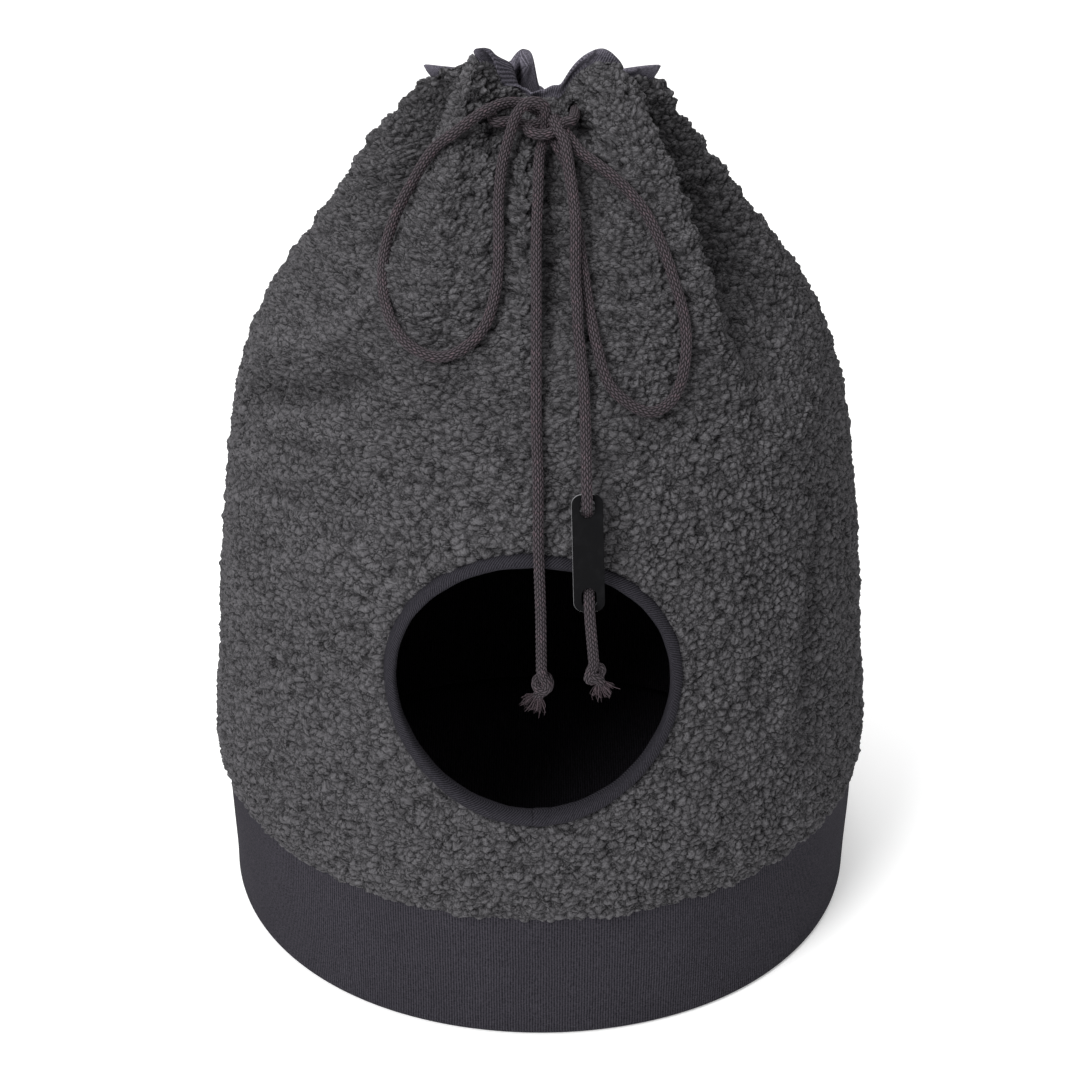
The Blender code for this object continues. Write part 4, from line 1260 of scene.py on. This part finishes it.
# %% [markdown]
# The band stands on a foot that isn't quite round, since the panel in it is a cut sheet. Its face hangs a
# fraction of a millimetre slack between its two seams, in a few shallow waves.

# %% The base band
BASE_RADIUS = 0.2008
BASE_SQUARENESS = 0.004
BASE_DEEPENING = 0.0085
BAND_TOP_RADIUS = 0.2025
BAND_THICKNESS = 0.003
BAND_SOFT_EDGE = 0.0035
FLOOR_THICKNESS = 0.003
BAND_COLUMNS = 480
BAND_ROWS = 46
BAND_OVERLAP = 0.004
CORNER_STEPS = 6
WIDE_SLACK = 0.0007
NARROW_SLACK = 0.0005


def foot_plan(angle, height):
    """The soft canvas foot is a little squarer and deeper than a circle, and round at the seam above."""
    share = np.maximum(0.0, 1.0 - height / BAND_HEIGHT)
    return 1.0 + share * (BASE_DEEPENING * np.sin(angle) ** 2 - BASE_SQUARENESS * np.cos(4 * angle))


def band_profile():
    """Radius and height down the band's face, under its soft edge and a way up its inside."""
    heights = np.linspace(BAND_HEIGHT + BAND_OVERLAP, BAND_SOFT_EDGE, BAND_ROWS)
    face = [(between(BASE_RADIUS, BAND_TOP_RADIUS, min(1.0, h / BAND_HEIGHT)), h) for h in heights]
    turns = [math.radians(90 / CORNER_STEPS * step) for step in range(1, CORNER_STEPS + 1)]
    corner = [(BASE_RADIUS - BAND_SOFT_EDGE * (1 - math.cos(turn)), BAND_SOFT_EDGE * (1 - math.sin(turn)))
              for turn in turns]
    inside = [(BASE_RADIUS - BAND_SOFT_EDGE, 0.0004), (BASE_RADIUS - BAND_SOFT_EDGE - 0.0002, 0.003),
              (BASE_RADIUS - BAND_THICKNESS, 0.006), (BAND_TOP_RADIUS - BAND_THICKNESS, BAND_HEIGHT + 0.003)]
    return np.array(face + corner + inside)


def make_band():
    angle = np.linspace(math.pi / 2, 2.5 * math.pi, BAND_COLUMNS + 1)
    profile = band_profile()
    rows = []
    for radius, height in profile:
        slack = WIDE_SLACK * np.sin(5 * angle + 1.3) + NARROW_SLACK * np.sin(11 * angle + 40 * height)
        share = min(1.0, height / BAND_HEIGHT)
        reach = radius * foot_plan(angle, height) + slack * math.sin(math.pi * share)
        rows.append(ring_points(reach, angle, height))
    grid = np.array(rows)
    faces = grid_faces(len(grid), BAND_COLUMNS + 1, False)[:, ::-1].tolist()
    down = running_total(np.hypot(*np.diff(profile, axis=0).T))
    return link_piece("canvas_band", grid, faces, canvas_finish, ["base_band"],
                      woven(grid, angle * BASE_RADIUS, down[:, None]))


band = make_band()

# %% [markdown]
# The floor is a stiffened canvas panel that is sewn in just above the ground. It is slightly crowned
# inside, and its underside lies flat on whatever the den stands on.

# %% The floor panel
FLOOR_RINGS = 24
FLOOR_COLUMNS = 144
FLOOR_CROWN = 0.0012
FLOOR_CLEARANCE = 0.0006
FLOOR_MIDDLE = 0.02
ROUNDED_ABOVE = 0.0009
ROUNDED_BELOW = 0.0006


def make_floor_panel():
    """Rings out along the top and back along the underside, each closed by a fan at its middle."""
    angle = np.arange(FLOOR_COLUMNS) * 2 * math.pi / FLOOR_COLUMNS
    outer = (BASE_RADIUS - BAND_SOFT_EDGE - FLOOR_CLEARANCE) * foot_plan(angle, 0.0)
    shares = np.linspace(FLOOR_MIDDLE, 1.0, FLOOR_RINGS)
    above = FLOOR_THICKNESS + FLOOR_CROWN * (1 - shares ** 4) - ROUNDED_ABOVE * shares ** 12
    below = ROUNDED_BELOW * shares ** 12
    grid = np.array([ring_points(outer * share, angle, height)
                     for share, height in [*zip(shares, above), *zip(shares[::-1], below[::-1])]])
    count = len(grid) * FLOOR_COLUMNS
    points = np.vstack([grid.reshape(-1, 3), (0.0, 0.0, FLOOR_THICKNESS + FLOOR_CROWN), (0.0, 0.0, 0.0)])
    faces = grid_faces(len(grid), FLOOR_COLUMNS, True)[:, ::-1].tolist()
    last = (len(grid) - 1) * FLOOR_COLUMNS
    for column in range(FLOOR_COLUMNS):
        after = (column + 1) % FLOOR_COLUMNS
        faces.append((count, column, after))
        faces.append((count + 1, last + after, last + column))
    return link_piece("canvas_floor", points, faces, canvas_finish, ["base_floor"],
                      {"round_it": points[:, 0], "up_it": points[:, 1]})


floor_panel = make_floor_panel()

# %% [markdown]
# ## The entrance's binding
#
# The cut edge is bound with a folded twill tape. It is a little fuller than a flat strip, it follows the
# wall's curve, and its two ends overlap at the bottom.

# %% The binding
TAPE_COLUMNS = 420
TAPE_SIDES = 26
TAPE_LINE_SPACING = 0.0016
TAPE_SQUARENESS = 2.6
TAPE_LAP = 0.10
TAPE_LAP_FULLER = 0.10
TAPE_DARK = (0.009, 0.0085, 0.011)
TAPE_PALE = (0.038, 0.036, 0.044)


def front_face_depth(x, z):
    """How far forward the pile's face stands at a place of the entrance, with no fold."""
    return -section(z, 2) * np.sqrt(1 - (x / section(z, 1)) ** 2)


def make_tape_finish():
    tape = Finish("twill_tape", 0.9, Specular_IOR_Level=0.05)
    twill = (tape.stored("round_it") + tape.stored("up_it")).wave(TAPE_LINE_SPACING)
    fibres = tape.noise(tape.place, 0.0009, 3.0)
    weave = (twill * 0.8 + fibres * 1.4 - 0.6).clamp()
    return tape.use(weave.between(TAPE_DARK, TAPE_PALE), twill * 0.7 + fibres * 0.3, 0.0004)


def squarish(wave):
    """A sine or cosine pushed outwards, so that two of them draw a rounded box and not a circle."""
    return np.sign(wave) * np.abs(wave) ** (2.0 / TAPE_SQUARENESS)


def make_binding():
    bearing = np.linspace(-math.pi / 2, 1.5 * math.pi, TAPE_COLUMNS + 1)[:, None]
    turn = np.linspace(0.0, 2 * math.pi, TAPE_SIDES, endpoint=False)[None, :]
    wide = squarish(np.cos(turn)) * TAPE_WIDTH / 2
    deep = squarish(np.sin(turn)) * TAPE_DEPTH / 2
    from_join = bearing + math.pi / 2
    lap = smooth(from_join / 0.02) * (1 - smooth((from_join - TAPE_LAP) / 0.015))
    full = 1.0 + 0.03 * np.sin(9 * bearing) + 0.025 * np.sin(23 * bearing + 1.0) + TAPE_LAP_FULLER * lap
    reach = ENTRANCE_RADIUS + TAPE_WIDTH / 2 + wide * full
    x = ENTRANCE_X + reach * np.cos(bearing)
    z = ENTRANCE_Z + reach * np.sin(bearing)
    y = front_face_depth(x, z) + WALL_THICKNESS / 2 - deep * full
    grid = np.stack([x, y, z], axis=-1)
    faces = with_end_caps(grid_faces(*grid.shape[:2], True), *grid.shape[:2])
    return link_piece("entrance_tape", grid, faces, make_tape_finish(), ["entrance_binding"],
                      woven(grid, bearing * ENTRANCE_RADIUS, np.abs(turn - math.pi) * TAPE_WIDTH / 2))


make_binding()

# %% [markdown]
# ## The mouth's facing
#
# Inside the mouth a strip of the same canvas faces the pile, its colour painted several times lighter as
# painted light on its upward face. It comes up the inside, stands a little above the pile and turns out over
# its edge, so a dark hem shows along the top.

# %% The facing
FACING_COLUMNS = 880
FACING_THICKNESS = 0.0018
FACING_GAP = 0.0021
FACING_TURNS_OUT_TO = 0.0032
FACING_LOW = 0.508
FACING_ROWS = 9
FACING_HALF_WAY = 0.6
FACING_CROWN = 0.0007
# painted light: the facing's canvas colour is multiplied this many times
FACING_PAINTED_LIGHT = 3.3


def facing_side(places, depth, turned):
    """One face of the strip, this deep in it, from its low edge up and out over the pile's edge."""
    rings = []
    for height in np.linspace(FACING_LOW, RIM_HEIGHT, FACING_ROWS):
        inset = thickness_at(height) + FACING_GAP
        rings.append(wall_ring(places, height, inset + depth))
    half_way = between(inset, FACING_TURNS_OUT_TO, turned) + depth
    rings.append(wall_ring(places, RIM_HEIGHT, half_way, FACING_HALF_WAY))
    rings.append(wall_ring(places, RIM_HEIGHT, FACING_TURNS_OUT_TO + depth, 1.0))
    return rings


def make_facing():
    places = even_positions(FACING_COLUMNS)
    outer = facing_side(places, 0.0, 0.6)
    inner = facing_side(places, FACING_THICKNESS, 0.5)
    crown = wall_ring(places, RIM_HEIGHT, FACING_TURNS_OUT_TO + FACING_THICKNESS / 2, 1.0, FACING_CROWN)
    grid = np.array([*outer, crown, *inner[::-1], outer[0]])
    lengths = ring_lengths(grid[FACING_ROWS // 2 + 1])[:-1]
    up = running_total(np.linalg.norm(np.diff(grid, axis=0), axis=2).mean(axis=1))
    return link_piece("mouth_facing", grid, grid_faces(*grid.shape[:2], True).tolist(),
                      make_canvas_finish("facing_canvas_painted_lit", FACING_PAINTED_LIGHT), ["top_facing"],
                      woven(grid, lengths, up[:, None]))


facing = make_facing()

# %% [markdown]
# ## What the cloth is
#

print("cloth pieces made")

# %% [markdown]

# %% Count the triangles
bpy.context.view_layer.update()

pieces = [thing.data for thing in scene.objects if thing.type == "MESH" and thing.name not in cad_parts]
print("triangles in all:", sum(len(data.loops) - 2 * len(data.polygons) for data in pieces))
